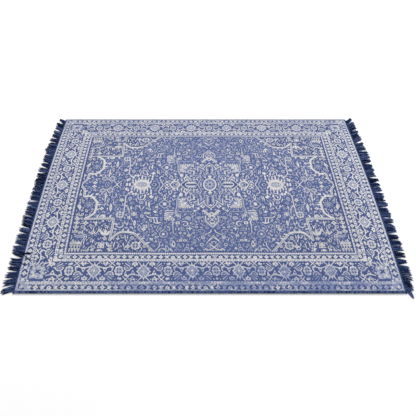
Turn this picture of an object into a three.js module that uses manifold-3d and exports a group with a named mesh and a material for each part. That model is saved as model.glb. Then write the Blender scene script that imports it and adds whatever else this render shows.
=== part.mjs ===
// A flat Persian rug, 1.7 m long and 1.2 m wide, with a dark blue fringe at its two short ends.
// Units are millimetres. +Z is up and the floor is z = 0. X runs along the length and Y across the width.
// The origin is the middle of the underside.
//
// The rug is five sewn pieces: the patterned woven panel, a cord overcast along each long side,
// and a heading tape at each short end with its fringe of yarn locks.

import * as THREE from "three";
import { mergeVertices } from "three/addons/utils/BufferGeometryUtils.js";
import Module from "manifold-3d";

const wasm = await Module();
wasm.setup();

// Driving dimensions
const RUG_LENGTH = 1700; // over the two heading tapes at a corner, without the fringe
const RUG_WIDTH = 1200; // over the two side cords
const PANEL_THICKNESS = 9;
const PANEL_EDGE_ROUND = 1.2;
const END_BOW = 12; // each short end bows outwards by this much at mid width
const SEAM_GAP = 0.3;

const CORD_WIDTH = 9;
const CORD_HEIGHT = 9.6;

const TAPE_WIDTH = 8;
const TAPE_HEIGHT = 7.4;

const TUFTS_PER_END = 34;
const LOCKS_PER_TUFT = 4;
const LOCK_LENGTH = 54; // of the longest tuft, from the tape to the tips
const TUFT_SHORTENING = 6; // how much shorter the shortest tuft is
const LOCK_SHORTENING = 2; // how much shorter a lock may be than its tuft
const LOCK_ROOT_WIDTH = 6.2;
const LOCK_TIP_WIDTH = 4.8;
const LOCK_ROOT_HEIGHT = 6.6;
const LOCK_TIP_HEIGHT = 4.4;
const LOCK_STEPS = 4;
const ROOT_DEPTH = 4; // how far a lock reaches into its tape
const TIP_SPACING = 6.5; // between the locks of one tuft at their tips
const TUFT_SWAY = 2.5; // irregular sideways shift of a tuft's tips
const TUFT_BEND = 2; // irregular sideways bend of a tuft at half its length

// How far the tufts lean along each end: "along" runs from the near corner (0) to the far one (1),
// and "lean" is how far the tips lie towards the far side from their roots.
const LEFT_LEAN = [
  { along: 0.0, lean: -32 },
  { along: 0.03, lean: -12 },
  { along: 0.08, lean: 0 },
  { along: 0.18, lean: 6 },
  { along: 0.3, lean: 20 },
  { along: 0.4, lean: 14 },
  { along: 0.5, lean: 16 },
  { along: 0.57, lean: 8 },
  { along: 0.7, lean: 26 },
  { along: 0.8, lean: 12 },
  { along: 0.88, lean: 28 },
  { along: 0.95, lean: 32 },
  { along: 1.0, lean: 26 },
];
const RIGHT_LEAN = [
  { along: 0.0, lean: -50 },
  { along: 0.03, lean: -24 },
  { along: 0.07, lean: -4 },
  { along: 0.2, lean: 4 },
  { along: 0.38, lean: -5 },
  { along: 0.5, lean: 0 },
  { along: 0.58, lean: 2 },
  { along: 0.66, lean: 14 },
  { along: 0.76, lean: 2 },
  { along: 0.8, lean: 24 },
  { along: 0.9, lean: 28 },
  { along: 1.0, lean: 27 },
];

// Sizes worked out from the ones above
const PANEL_HALF_LENGTH = RUG_LENGTH / 2 - TAPE_WIDTH - SEAM_GAP;
const PANEL_HALF_WIDTH = RUG_WIDTH / 2 - CORD_WIDTH - SEAM_GAP;
const LOCKS_PER_END = TUFTS_PER_END * LOCKS_PER_TUFT;
const LOCK_PITCH = (2 * PANEL_HALF_WIDTH) / LOCKS_PER_END;
const END_STEPS = 40;

// How far out the panel's end lies at a place across the width: a shallow parabola.
function endOut(y) {
  return PANEL_HALF_LENGTH + END_BOW * (1 - (y / PANEL_HALF_WIDTH) ** 2);
}

// A repeatable number from -1 to 1 for a seed.
function scatter(seed) {
  const wave = Math.sin(seed * 12.9898) * 43758.5453;
  return 2 * (wave - Math.floor(wave)) - 1;
}

// The lean at a place along an end, between the rows of its table.
function leanAt(table, along) {
  const next = Math.max(1, table.findIndex((row) => row.along >= along));
  const [a, b] = [table[next - 1], table[next]];
  return a.lean + ((b.lean - a.lean) * (along - a.along)) / (b.along - a.along);
}

function solidFrom(geometry) {
  const bare = geometry.clone();
  bare.deleteAttribute("normal");
  bare.deleteAttribute("uv");
  const merged = mergeVertices(bare, 1e-4);
  return new wasm.Manifold(
    new wasm.Mesh({
      numProp: 3,
      vertProperties: merged.attributes.position.array,
      triVerts: new Uint32Array(merged.index.array),
    }),
  );
}

function geometryFrom(solid) {
  const mesh = solid.getMesh();
  const geometry = new THREE.BufferGeometry();
  geometry.setAttribute("position", new THREE.BufferAttribute(mesh.vertProperties, 3));
  geometry.setIndex(new THREE.BufferAttribute(mesh.triVerts, 1));
  geometry.computeVertexNormals();
  return geometry;
}

const navyYarn = new THREE.MeshStandardMaterial({ color: 0x22356b, roughness: 0.9, metalness: 0 });
const blueWeave = new THREE.MeshStandardMaterial({ color: 0x7c8ab8, roughness: 0.9, metalness: 0 });

// The woven panel: straight long sides, bowed ends and softly rounded edges.
function panelGeometry() {
  const inset = PANEL_EDGE_ROUND;
  const side = PANEL_HALF_WIDTH - inset;
  const outline = new THREE.Shape();
  for (const end of [1, -1]) {
    for (let i = 0; i <= END_STEPS; i++) {
      const y = end * side * ((2 * i) / END_STEPS - 1);
      const x = end * (endOut(y) - inset);
      if (end === 1 && i === 0) outline.moveTo(x, y);
      else outline.lineTo(x, y);
    }
  }
  outline.closePath();
  const slab = new THREE.ExtrudeGeometry(outline, {
    depth: PANEL_THICKNESS - 2 * PANEL_EDGE_ROUND,
    bevelSize: inset,
    bevelThickness: PANEL_EDGE_ROUND,
    bevelSegments: 2,
  });
  slab.translate(0, 0, PANEL_EDGE_ROUND);
  return slab;
}

// A side cord: a round bundle of wefts, overcast, with the flat underside that it lies on.
function sideCordGeometry() {
  const radius = CORD_WIDTH / 2;
  const flatHalf = radius * 0.6;
  const section = new THREE.Shape();
  section.moveTo(-flatHalf, 0);
  section.lineTo(flatHalf, 0);
  section.quadraticCurveTo(radius, 0, radius, radius * 0.8);
  section.lineTo(radius, CORD_HEIGHT - radius);
  section.absarc(0, CORD_HEIGHT - radius, radius, 0, Math.PI, false);
  section.lineTo(-radius, radius * 0.8);
  section.quadraticCurveTo(-radius, 0, -flatHalf, 0);
  const length = 2 * (endOut(PANEL_HALF_WIDTH + CORD_WIDTH) - SEAM_GAP);
  const cord = new THREE.ExtrudeGeometry(section, { depth: length, bevelEnabled: false, curveSegments: 5 });
  cord.translate(0, 0, -length / 2);
  // Stand the section up: its x becomes Y, its y becomes Z and its depth becomes X.
  cord.applyMatrix4(new THREE.Matrix4().makeBasis(
    new THREE.Vector3(0, 1, 0),
    new THREE.Vector3(0, 0, 1),
    new THREE.Vector3(1, 0, 0),
  ));
  return cord;
}

// The heading tape of the right-hand end: a narrow strip that follows the panel's bowed end.
function tapeGeometry() {
  const half = RUG_WIDTH / 2;
  const outline = new THREE.Shape();
  for (const out of [SEAM_GAP, SEAM_GAP + TAPE_WIDTH]) {
    const turn = out === SEAM_GAP ? -1 : 1;
    for (let i = 0; i <= END_STEPS; i++) {
      const y = turn * half * ((2 * i) / END_STEPS - 1);
      const x = endOut(y) + out;
      if (turn === -1 && i === 0) outline.moveTo(x, y);
      else outline.lineTo(x, y);
    }
  }
  outline.closePath();
  return new THREE.ExtrudeGeometry(outline, { depth: TAPE_HEIGHT, bevelEnabled: false });
}

// One lock of a right-hand fringe: a four-sided yarn that narrows to its tip and lies on the floor.
// Its stations run from inside the tape out to the tip. A tuft that leans more reaches less far out.
function lockGeometry(index, leanTable, seed) {
  const tuft = Math.floor(index / LOCKS_PER_TUFT);
  const inTuft = (index % LOCKS_PER_TUFT) - (LOCKS_PER_TUFT - 1) / 2;
  const rootY = -PANEL_HALF_WIDTH + LOCK_PITCH * (index + 0.5);
  const tuftY = -PANEL_HALF_WIDTH + LOCK_PITCH * LOCKS_PER_TUFT * (tuft + 0.5);
  const lean = leanAt(leanTable, (tuft + 0.5) / TUFTS_PER_END) + TUFT_SWAY * scatter(seed + 3 * tuft);
  const bend = TUFT_BEND * scatter(seed + 7 * tuft + 50);
  const tuftLength = LOCK_LENGTH - (TUFT_SHORTENING * (1 + scatter(seed + 5 * tuft + 20))) / 2;
  const shortening = (LOCK_SHORTENING * (1 + scatter(seed + 11 * index + 90))) / 2;
  const reach = Math.sqrt(tuftLength ** 2 - lean ** 2) - shortening;
  const tipY = tuftY + lean + TIP_SPACING * inTuft;
  const rootX = endOut(rootY) + SEAM_GAP + TAPE_WIDTH;

  const positions = [];
  const faces = [];
  for (let i = 0; i <= LOCK_STEPS; i++) {
    const t = i / LOCK_STEPS;
    const x = rootX - ROOT_DEPTH + t * (reach + ROOT_DEPTH);
    const y = rootY + (tipY - rootY) * t ** 1.25 + bend * 4 * t * (1 - t);
    const halfWidth = (LOCK_ROOT_WIDTH + (LOCK_TIP_WIDTH - LOCK_ROOT_WIDTH) * t) / 2;
    const height = LOCK_ROOT_HEIGHT + (LOCK_TIP_HEIGHT - LOCK_ROOT_HEIGHT) * t;
    const topHalf = halfWidth * 0.7;
    positions.push(x, y - halfWidth, 0, x, y + halfWidth, 0, x, y + topHalf, height, x, y - topHalf, height);
    if (i === LOCK_STEPS) continue;
    for (let side = 0; side < 4; side++) {
      const a = 4 * i + side;
      const b = 4 * i + ((side + 1) % 4);
      faces.push(a, b, a + 4, b, b + 4, a + 4);
    }
  }
  const last = 4 * LOCK_STEPS;
  faces.push(0, 2, 1, 0, 3, 2, last, last + 1, last + 2, last, last + 2, last + 3);
  const lock = new THREE.BufferGeometry();
  lock.setAttribute("position", new THREE.BufferAttribute(new Float32Array(positions), 3));
  lock.setIndex(faces);
  return lock;
}

// The fringe of one end: its locks fused into the heading tape. side is 1 for the right and -1 for the left.
function fringeGeometry(side, leanTable, seed) {
  const pieces = [solidFrom(tapeGeometry())];
  for (let index = 0; index < LOCKS_PER_END; index++) {
    pieces.push(solidFrom(lockGeometry(index, leanTable, seed)));
  }
  const joined = wasm.Manifold.union(pieces);
  return geometryFrom(side > 0 ? joined : joined.mirror([1, 0, 0]));
}

const rug = new THREE.Group();

const panel = new THREE.Mesh(panelGeometry(), blueWeave);
panel.name = "woven_panel";
rug.add(panel);

for (const [name, side] of [["side_cord_near", -1], ["side_cord_far", 1]]) {
  const cord = new THREE.Mesh(sideCordGeometry(), navyYarn);
  cord.name = name;
  cord.position.y = side * (RUG_WIDTH - CORD_WIDTH) / 2;
  rug.add(cord);
}

for (const [name, side, leanTable, seed] of [
  ["fringe_left", -1, LEFT_LEAN, 1],
  ["fringe_right", 1, RIGHT_LEAN, 401],
]) {
  const fringe = new THREE.Mesh(fringeGeometry(side, leanTable, seed), navyYarn);
  fringe.name = name;
  rug.add(fringe);
}

export default rug;
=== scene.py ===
"""A Persian rug, 1.7 by 1.2 m, lying flat: a patterned pile panel in blue and ivory, overcast side cords
and a navy fringe at both short ends."""

import math

import bpy
import numpy as np
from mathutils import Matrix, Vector
from mathutils.geometry import delaunay_2d_cdt


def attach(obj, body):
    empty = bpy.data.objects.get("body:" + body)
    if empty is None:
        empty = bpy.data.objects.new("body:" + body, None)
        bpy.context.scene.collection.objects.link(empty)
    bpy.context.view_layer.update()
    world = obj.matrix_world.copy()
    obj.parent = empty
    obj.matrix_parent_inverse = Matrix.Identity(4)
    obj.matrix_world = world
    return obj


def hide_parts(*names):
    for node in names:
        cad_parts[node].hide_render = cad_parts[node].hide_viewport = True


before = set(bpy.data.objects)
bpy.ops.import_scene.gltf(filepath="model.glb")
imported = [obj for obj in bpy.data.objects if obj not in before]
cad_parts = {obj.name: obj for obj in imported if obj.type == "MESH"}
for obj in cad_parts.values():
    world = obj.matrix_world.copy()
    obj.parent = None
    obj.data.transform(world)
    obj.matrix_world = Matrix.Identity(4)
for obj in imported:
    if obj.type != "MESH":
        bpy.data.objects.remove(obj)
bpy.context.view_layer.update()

# The woven pattern. It is one quarter of a medallion carpet, drawn in millimetres from the rug's centre, x
# along the length to 850 and y across the width to 600, and repeated in mirror image over the other three.
# Each yarn colour is a tone: shapes are laid one over another, and the last one laid is the one that shows.
HALF_LENGTH, HALF_WIDTH = 850.0, 600.0
CURVE_STEP = 6.5  # how far apart the corners of a curved outline are
TONES = 6
DEEP, BORDER, FIELD, MID, PALE, IVORY = range(TONES)
shapes = []
place = None  # turns the points of a repeat into the rug's, while that repeat is laid


def lay(tone, outline):
    """Lays a flat shape of one tone over those laid before it. outline is its corners, n by 2."""
    outline = np.asarray(outline, float)
    shapes.append((tone, outline if place is None else place(outline)))


def turned(points, at=(0, 0), turn=0.0):
    """The points turned by an angle in degrees and moved: p' = R p + at."""
    c, s = math.cos(math.radians(turn)), math.sin(math.radians(turn))
    return np.asarray(points, float) @ np.array([[c, s], [-s, c]]) + at


def smooth(points):
    """A curve through points, each span the cubic of Catmull and Rom, in steps of about CURVE_STEP."""
    p = np.asarray(points, float)
    if len(p) < 3:
        return p
    p = np.vstack([2 * p[0] - p[1], p, 2 * p[-1] - p[-2]])
    out = []
    for a, b, c, d in zip(p[:-3], p[1:-2], p[2:-1], p[3:]):
        n = max(2, int(round(np.linalg.norm(c - b) / CURVE_STEP)))
        t = np.arange(n)[:, None] / n
        out.append(0.5 * (2 * b + (c - a) * t + (2 * a - 5 * b + 4 * c - d) * t**2
                          + (3 * b - a - 3 * c + d) * t**3))
    return np.vstack(out + [p[-2][None]])


def band(tone, points, width, start=1.0, end=1.0, straight=False):
    """A band of yarn along a curve. Its width runs from start to 1 to end times the full width."""
    p = np.asarray(points, float) if straight else smooth(points)
    d = np.gradient(p, axis=0)
    d /= np.linalg.norm(d, axis=1)[:, None] + 1e-9
    side = np.c_[-d[:, 1], d[:, 0]]
    t = np.linspace(0, 1, len(p))
    grow = np.minimum(1, start + (1 - start) * t / 0.4) * np.minimum(1, end + (1 - end) * (1 - t) / 0.4)
    side *= (width / 2 * grow)[:, None]
    first, last = p[0] - d[0] * width * 0.3 * start, p[-1] + d[-1] * width * 0.3 * end
    lay(tone, np.vstack([first, p + side, last, (p - side)[::-1]]))


def disk(tone, at, r, lobes=0, depth=0.0, turn=0.0, squash=1.0, n=0):
    """A round or lobed shape of n corners: r(a) = r (1 + depth cos(lobes a)), squashed across its turn."""
    n = n or max(7, int(2 * math.pi * r / CURVE_STEP), 3 * lobes)
    a = np.arange(n) * 2 * math.pi / n
    rr = r * (1 + depth * np.cos(lobes * a))
    lay(tone, turned(np.c_[rr * np.cos(a), squash * rr * np.sin(a)], at, turn))


def leaf(tone, at, turn, length, width, core=None, lean=0.0, hollow=0.5):
    """A leaf from a point: its half width is w/2 sin(pi t^0.8), and lean bows it sideways. A core of another
    tone fills the share hollow of it."""
    n = max(3, int(length / 8))
    for tone_now, k in ((tone, 1.0),) if core is None else ((tone, 1.0), (core, hollow)):
        t = np.linspace(0, 1, n + 1)
        x = length * ((1 - k) / 2 + k * t)
        w = k * width / 2 * np.sin(math.pi * t**0.8)
        mid = lean * length * np.sin(math.pi * x / length)
        outline = np.vstack([np.c_[x, mid + w], np.c_[x, mid - w][-2:0:-1]])
        lay(tone_now, turned(outline, at, turn))


def crescent(tone, at, turn, r, width, sweep=200.0):
    """A scroll: an arc that is open on the side it is turned to and thins to both its ends."""
    a = np.radians(np.linspace(180 - sweep / 2, 180 + sweep / 2, max(5, int(r * sweep / 57 / 6))))
    band(tone, turned(np.c_[r * np.cos(a), r * np.sin(a)], at, turn), width, 0.4, 0.4, True)


def cup(tone, at, turn, wide, deep, width):
    """A U-shaped scroll whose foot is at a point and whose mouth faces the way it is turned."""
    w = wide / 2
    points = [(deep, w * 0.9), (0.55 * deep, w), (0.12 * deep, 0.6 * w), (0, 0), (0.12 * deep, -0.6 * w),
              (0.55 * deep, -w), (deep, -0.9 * w)]
    band(tone, smooth(turned(points, at, turn)), width, 0.7, 0.7, True)


def tulip(tone, at, turn, width, height, notch=None):
    """A tulip flower seen from the side, its three points turned to the given angle from the foot at."""
    w, h = width / 2, height
    lay(tone, turned([(0, -0.25 * w), (0.25 * h, -0.8 * w), (h, -w), (0.62 * h, -0.45 * w), (1.05 * h, 0),
                      (0.62 * h, 0.45 * w), (h, w), (0.25 * h, 0.8 * w), (0, 0.25 * w)], at, turn))
    if notch is not None:
        leaf(notch, turned([(0.15 * h, 0)], at, turn)[0], turn, 0.55 * h, 0.4 * width)


def rosette(at, r, ground=BORDER, squash=1.0):
    """A round flower of the borders: eight scalloped petals, a paler disk with four dark eyes and a heart."""
    disk(IVORY, at, r, 8, 0.1, 0, squash)
    disk(PALE, at, 0.72 * r, 8, 0.06, 0, squash)
    for k in range(4):
        eye = np.array([math.cos(math.radians(45 + 90 * k)), squash * math.sin(math.radians(45 + 90 * k))])
        disk(ground, at + 0.42 * r * eye, 0.2 * r, squash=1.3, n=6)
    for k in range(8):
        a = math.radians(22.5 + 45 * k)
        disk(ground, at + 0.83 * r * np.array([math.cos(a), squash * math.sin(a)]), 0.08 * r, n=5)
    disk(IVORY, at, 0.15 * r, n=6)


def ring_flower(at, r, core=0.4, ground=BORDER, tone=IVORY):
    """A small round flower: a ring round a dark eye with an ivory heart."""
    disk(PALE if r > 12 else tone, at, r, 6, 0.06)
    disk(ground, at, (0.66 if r < 12 else 0.78) * r)
    disk(IVORY, at, core * r, n=8)


def four_petals(at, r, turn, eye):
    """A small flower of four ivory petals with a dark eye."""
    disk(IVORY, at, 0.8 * r, 4, 0.3, turn, n=20)
    disk(eye, at, 0.24 * r, n=6)


def square_fan(corner, size, petals):
    """A fan palmette that fills a square but for its inner corner: a pale ground, an ivory heart, and rays to
    ivory knobs along the outer sides, with dark notches between them. Blades stand over the inner corner."""
    x, y = corner
    heart = np.array([x + 0.5 * size, y + 0.52 * size])
    ground = ((1, 0), (0.64, 0), (0.36, 0.36), (0.08, 0.8), (0, 1), (1, 1))
    lay(PALE, [(x + u * size, y + v * size) for u, v in ground])
    disk(MID, heart, 0.3 * size, n=12)
    for s in (-1, 1):
        for k in range(petals):
            for tone, step, reach in ((BORDER, k, 0.42), (IVORY, k + 0.5, 0.8)):
                u = 1 - step / petals
                end = np.array([x + (1.0 if s > 0 else u) * size, y + (u if s > 0 else 1.0) * size])
                way = end - heart
                back = math.degrees(math.atan2(-way[1], -way[0]))
                leaf(tone, end + 0.04 * way, back, reach * np.hypot(*way), 0.1 * size)
            disk(IVORY, end, 0.36 * size / petals, n=7)
        leaf(FIELD, heart + (4 * s, -4 * s), 45 - 45 * s, 0.3 * size, 2.6)
    for k in range(2):
        foot = (x + (0.34 - 0.18 * k) * size, y + (0.28 + 0.26 * k) * size)
        leaf(IVORY, foot, 216, 0.3 * size, 0.08 * size)
    disk(IVORY, heart, 0.15 * size, 4, 0.2, 45, n=12)


def palmette(at, turn, length, width, ground):
    """A pointed bud in outline, with a paler inner leaf and a dark heart, from its foot."""
    for tone, start, long, wide in ((IVORY, 0, 1, 1), (ground, 0.1, 0.78, 0.7), (PALE, 0.17, 0.62, 0.46),
                                    (DEEP, 0.28, 0.4, 0.2)):
        leaf(tone, turned([(start * length, 0)], at, turn)[0], turn, long * length, wide * width)


def covered(points, over):
    """Which of the points lie in a closed outline, by its winding number round each."""
    x, y = points[:, 0, None], points[:, 1, None]
    (x0, y0), (x1, y1) = over.T, np.roll(over, -1, 0).T
    left = (x1 - x0) * (y - y0) - (x - x0) * (y1 - y0)
    up, down = (y0 <= y) & (y1 > y) & (left > 0), (y0 > y) & (y1 <= y) & (left < 0)
    return (up.astype(int) - down.astype(int)).sum(1) != 0


def tones_at(points):
    """The tone that shows at each point: that of the last shape laid over it."""
    tones = np.full(len(points), PALE)
    by_x = np.argsort(points[:, 0])
    xs = points[by_x, 0]
    for tone, outline in shapes:
        low, high = outline.min(0), outline.max(0)
        near = by_x[np.searchsorted(xs, low[0]) : np.searchsorted(xs, high[0])]
        near = near[(points[near, 1] >= low[1]) & (points[near, 1] <= high[1])]
        if len(near):
            tones[near[covered(points[near], outline)]] = tone
    return tones


lay(FIELD, [(-9, -9), (860, -9), (860, 610), (-9, 610)])
# The corner pieces of the field lie on a darker ground, outside a cusped ivory line. The line is given from
# the long side's edge round to the rug's long axis, one row for each smooth stretch.
LINE = (
    [(277, 420), (325, 369), (373, 319)],
    [(373, 319), (387, 313), (412, 311), (440, 313), (463, 331), (484, 357)],
    [(484, 357), (479, 300), (476, 231)],
    [(476, 231), (545, 231), (616, 233)],
    [(616, 233), (592, 216), (572, 197)],
    [(572, 197), (568, 170), (567, 146), (569, 124), (585, 100), (603, 83)],
    [(603, 83), (620, 84), (637, 87)],
    [(637, 87), (638, 60), (642, 34), (655, 18), (665, 0), (668, -9)],
)
inside = np.vstack([smooth(part) for part in LINE])
lay(BORDER, np.vstack([inside, [(700, -8), (700, 440), (260, 440)]]))

# Field flowers. Columns: form, x, y, turn, size, second size.
FIELD_FLOWERS = (
    # round the centre
    ("big_ring", 231, 122, 0, 27, 0),
    ("leaf", 60, 24, 60, 24, 7), ("leaf", 72, 30, 40, 22, 7), ("hollow", 88, 34, 10, 26, 11),
    ("crescent", 122, 36, 200, 12, 5), ("leaf", 44, 40, 75, 28, 6), ("leaf", 52, 64, 100, 20, 6),
    ("hollow", 24, 50, 80, 28, 10), ("leaf", 108, 64, 225, 26, 6),
    ("leaf", 86, 66, 100, 30, 6),
    ("leaf", 100, 62, 95, 40, 6), ("leaf", 46, 68, 95, 36, 6),
    ("tulip", 41, 146, 270, 26, 15), ("leaf", 84, 118, 85, 40, 7), ("leaf", 88, 104, 100, 12, 8),
    ("four", 82, 168, 0, 9, 0), ("leaf", 44, 126, 330, 15, 6), ("hollow", 62, 148, 60, 24, 9),
    ("leaf", 112, 26, 30, 12, 10), ("leaf", 144, 14, 88, 26, 7), ("leaf", 124, 66, 300, 34, 6),
    ("tulip", 148, 52, 90, 16, 14), ("leaf", 154, 34, 75, 14, 7), ("dot", 136, 44, 0, 4, 0),
    # the fans and what stands round them
    ("almond", 232, 96, 270, 36, 15), ("leaf", 306, 106, 92, 44, 11),
    ("leaf", 322, 104, 95, 36, 8), ("four", 300, 76, 0, 12, 0), ("leaf", 274, 68, 84, 42, 6),
    ("leaf", 264, 66, 80, 42, 6), ("leaf", 292, 96, 60, 18, 7), ("hollow", 250, 192, 262, 36, 12),
    ("leaf", 232, 178, 240, 22, 5), ("leaf", 214, 36, 110, 28, 7), ("leaf", 206, 60, 60, 24, 6),
    ("pale_leaf", 178, 160, 100, 56, 15), ("leaf", 192, 84, 110, 24, 6), ("hollow", 212, 62, 70, 26, 9),
    ("four", 184, 72, 0, 9, 0), ("crescent", 252, 44, 200, 12, 5), ("four", 278, 172, 0, 10, 0),
    ("leaf", 262, 176, 20, 18, 7), ("hollow", 264, 120, 60, 24, 10), ("four", 270, 142, 45, 9, 0),
    ("tulip", 320, 176, 90, 22, 18), ("leaf", 208, 160, 0, 18, 5), ("cup", 214, 152, 20, 16, 12),
    # under the finial, to the long side
    ("tulip", 0, 262, 270, 26, 18), ("dot", 0, 232, 0, 4, 0), ("dot", 18, 222, 0, 4, 0),
    ("oval", 118, 216, 0, 15, 0.85), ("oval", 62, 214, 0, 11, 0.9), ("cup", 90, 200, 270, 26, 20),
    ("ring", 150, 291, 0, 13, 0.3), ("leaf", 176, 280, 90, 24, 5), ("leaf", 167, 280, 90, 24, 5),
    ("star", 111, 289, 0, 15, 0), ("crescent", 136, 256, 30, 16, 7), ("crescent", 134, 262, 200, 8, 5),
    ("leaf", 118, 240, 60, 16, 7), ("ring", 79, 280, 0, 8.5, 0.3), ("leaf", 74, 272, 60, 10, 7),
    ("cup", 54, 296, 80, 32, 16), ("hollow", 44, 312, 60, 34, 11), ("ring", 49, 341, 0, 10, 0.35),
    ("leaf", 46, 326, 100, 10, 5), ("leaf", 26, 320, 30, 20, 7), ("ring", 236, 321, 0, 21, 0.36),
    ("cup", 247, 300, 270, 38, 30), ("square", 168, 250, 0, 10, 0), ("hollow", 220, 262, 50, 24, 9),
    ("leaf", 204, 286, 75, 20, 6), ("hollow", 202, 346, 92, 44, 13), ("leaf", 186, 330, 90, 16, 8),
    ("almond", 188, 396, 270, 40, 17), ("cup", 172, 402, 88, 22, 20), ("hollow", 225, 380, 105, 44, 16),
    ("leaf", 210, 376, 190, 16, 6), ("cup", 132, 406, 92, 46, 44), ("cup", 128, 394, 95, 22, 26),
    ("leaf", 140, 376, 80, 10, 9), ("leaf", 146, 322, 110, 18, 6), ("leaf", 158, 334, 135, 22, 5),
    ("tulip", 136, 350, 90, 20, 14), ("hollow", 122, 372, 80, 30, 13), ("hollow", 94, 348, 88, 26, 10),
    ("leaf", 76, 340, 120, 28, 5), ("leaf", 84, 330, 60, 20, 5), ("ring", 57, 380, 0, 9, 0.1),
    ("cup", 88, 372, 300, 22, 18), ("leaf", 86, 408, 75, 26, 6), ("leaf", 30, 402, 20, 26, 8),
    ("cup", 20, 386, 60, 18, 16), ("leaf", 24, 364, 30, 14, 9), ("four", 104, 400, 0, 8, 0),
    ("ring", 118, 330, 0, 8, 0.3), ("four", 156, 356, 45, 9, 0), ("leaf", 212, 338, 130, 14, 5),
    ("cup", 252, 366, 270, 14, 16), ("leaf", 230, 398, 20, 18, 7), ("leaf", 206, 398, 160, 16, 6),
    # from the lotus to the cusped line
    ("leaf", 322, 90, 60, 26, 6), ("cup", 450, 36, 280, 20, 22), ("tulip", 426, 44, 280, 22, 18),
    ("ring", 461, 172, 0, 16, 0.3),
    ("pale_leaf", 402, 84, 80, 34, 20), ("leaf", 376, 88, 110, 34, 6), ("four", 446, 112, 0, 13, 0),
    ("leaf", 394, 144, 92, 30, 11), ("petals", 381, 197, 0, 21, 0), ("spear", 531, 50, 92, 82, 9),
    ("leaf", 516, 76, 60, 26, 7), ("leaf", 546, 92, 120, 26, 7), ("lily", 531, 205, 90, 30, 26),
    ("spear", 497, 136, 92, 56, 14), ("leaf", 482, 120, 80, 24, 7), ("hollow", 500, 84, 110, 40, 12),
    ("cup", 484, 96, 275, 20, 30), ("palmette", 566, 50, 200, 40, 30), ("four", 596, 14, 0, 12, 0),
    ("leaf", 584, 26, 60, 26, 8), ("hollow", 612, 20, 100, 30, 10), ("palmette", 512, 20, 90, 48, 32),
    ("cup", 532, 18, 270, 18, 24), ("hollow", 494, 30, 80, 30, 12), ("leaf", 478, 64, 100, 24, 7),
    ("leaf", 550, 58, 100, 22, 7), ("four", 574, 70, 45, 10, 0), ("leaf", 590, 60, 60, 20, 6),
    ("rosette", 448, 207, 0, 20, 0), ("leaf", 424, 208, 10, 16, 10), ("four", 404, 222, 45, 10, 0),
    ("spear", 374, 236, 88, 42, 13), ("hollow", 352, 262, 85, 44, 15), ("crescent", 444, 268, 300, 16, 6),
    ("leaf", 424, 244, 120, 26, 7), ("cup", 420, 262, 250, 18, 20), ("leaf", 402, 252, 70, 28, 7),
    ("leaf", 386, 276, 110, 24, 6), ("four", 330, 294, 0, 12, 0), ("square", 322, 276, 0, 9, 0),
    ("leaf", 296, 256, 100, 24, 6), ("cup", 288, 290, 340, 20, 22), ("leaf", 272, 288, 120, 28, 6),
    ("four", 292, 350, 45, 9, 0), ("leaf", 270, 330, 80, 22, 6), ("hollow", 334, 224, 90, 30, 10),
    ("cup", 346, 160, 260, 20, 22), ("leaf", 330, 140, 70, 24, 7), ("leaf", 358, 132, 110, 30, 8),
    ("hollow", 372, 150, 80, 26, 9), ("leaf", 412, 140, 60, 22, 6), ("cup", 410, 176, 250, 16, 26),
    ("leaf", 440, 130, 110, 20, 6), ("hollow", 466, 140, 60, 24, 9), ("cup", 540, 140, 90, 24, 20),
    ("leaf", 520, 128, 70, 24, 7), ("four", 540, 168, 0, 11, 0), ("leaf", 512, 160, 100, 22, 7),
)
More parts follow.
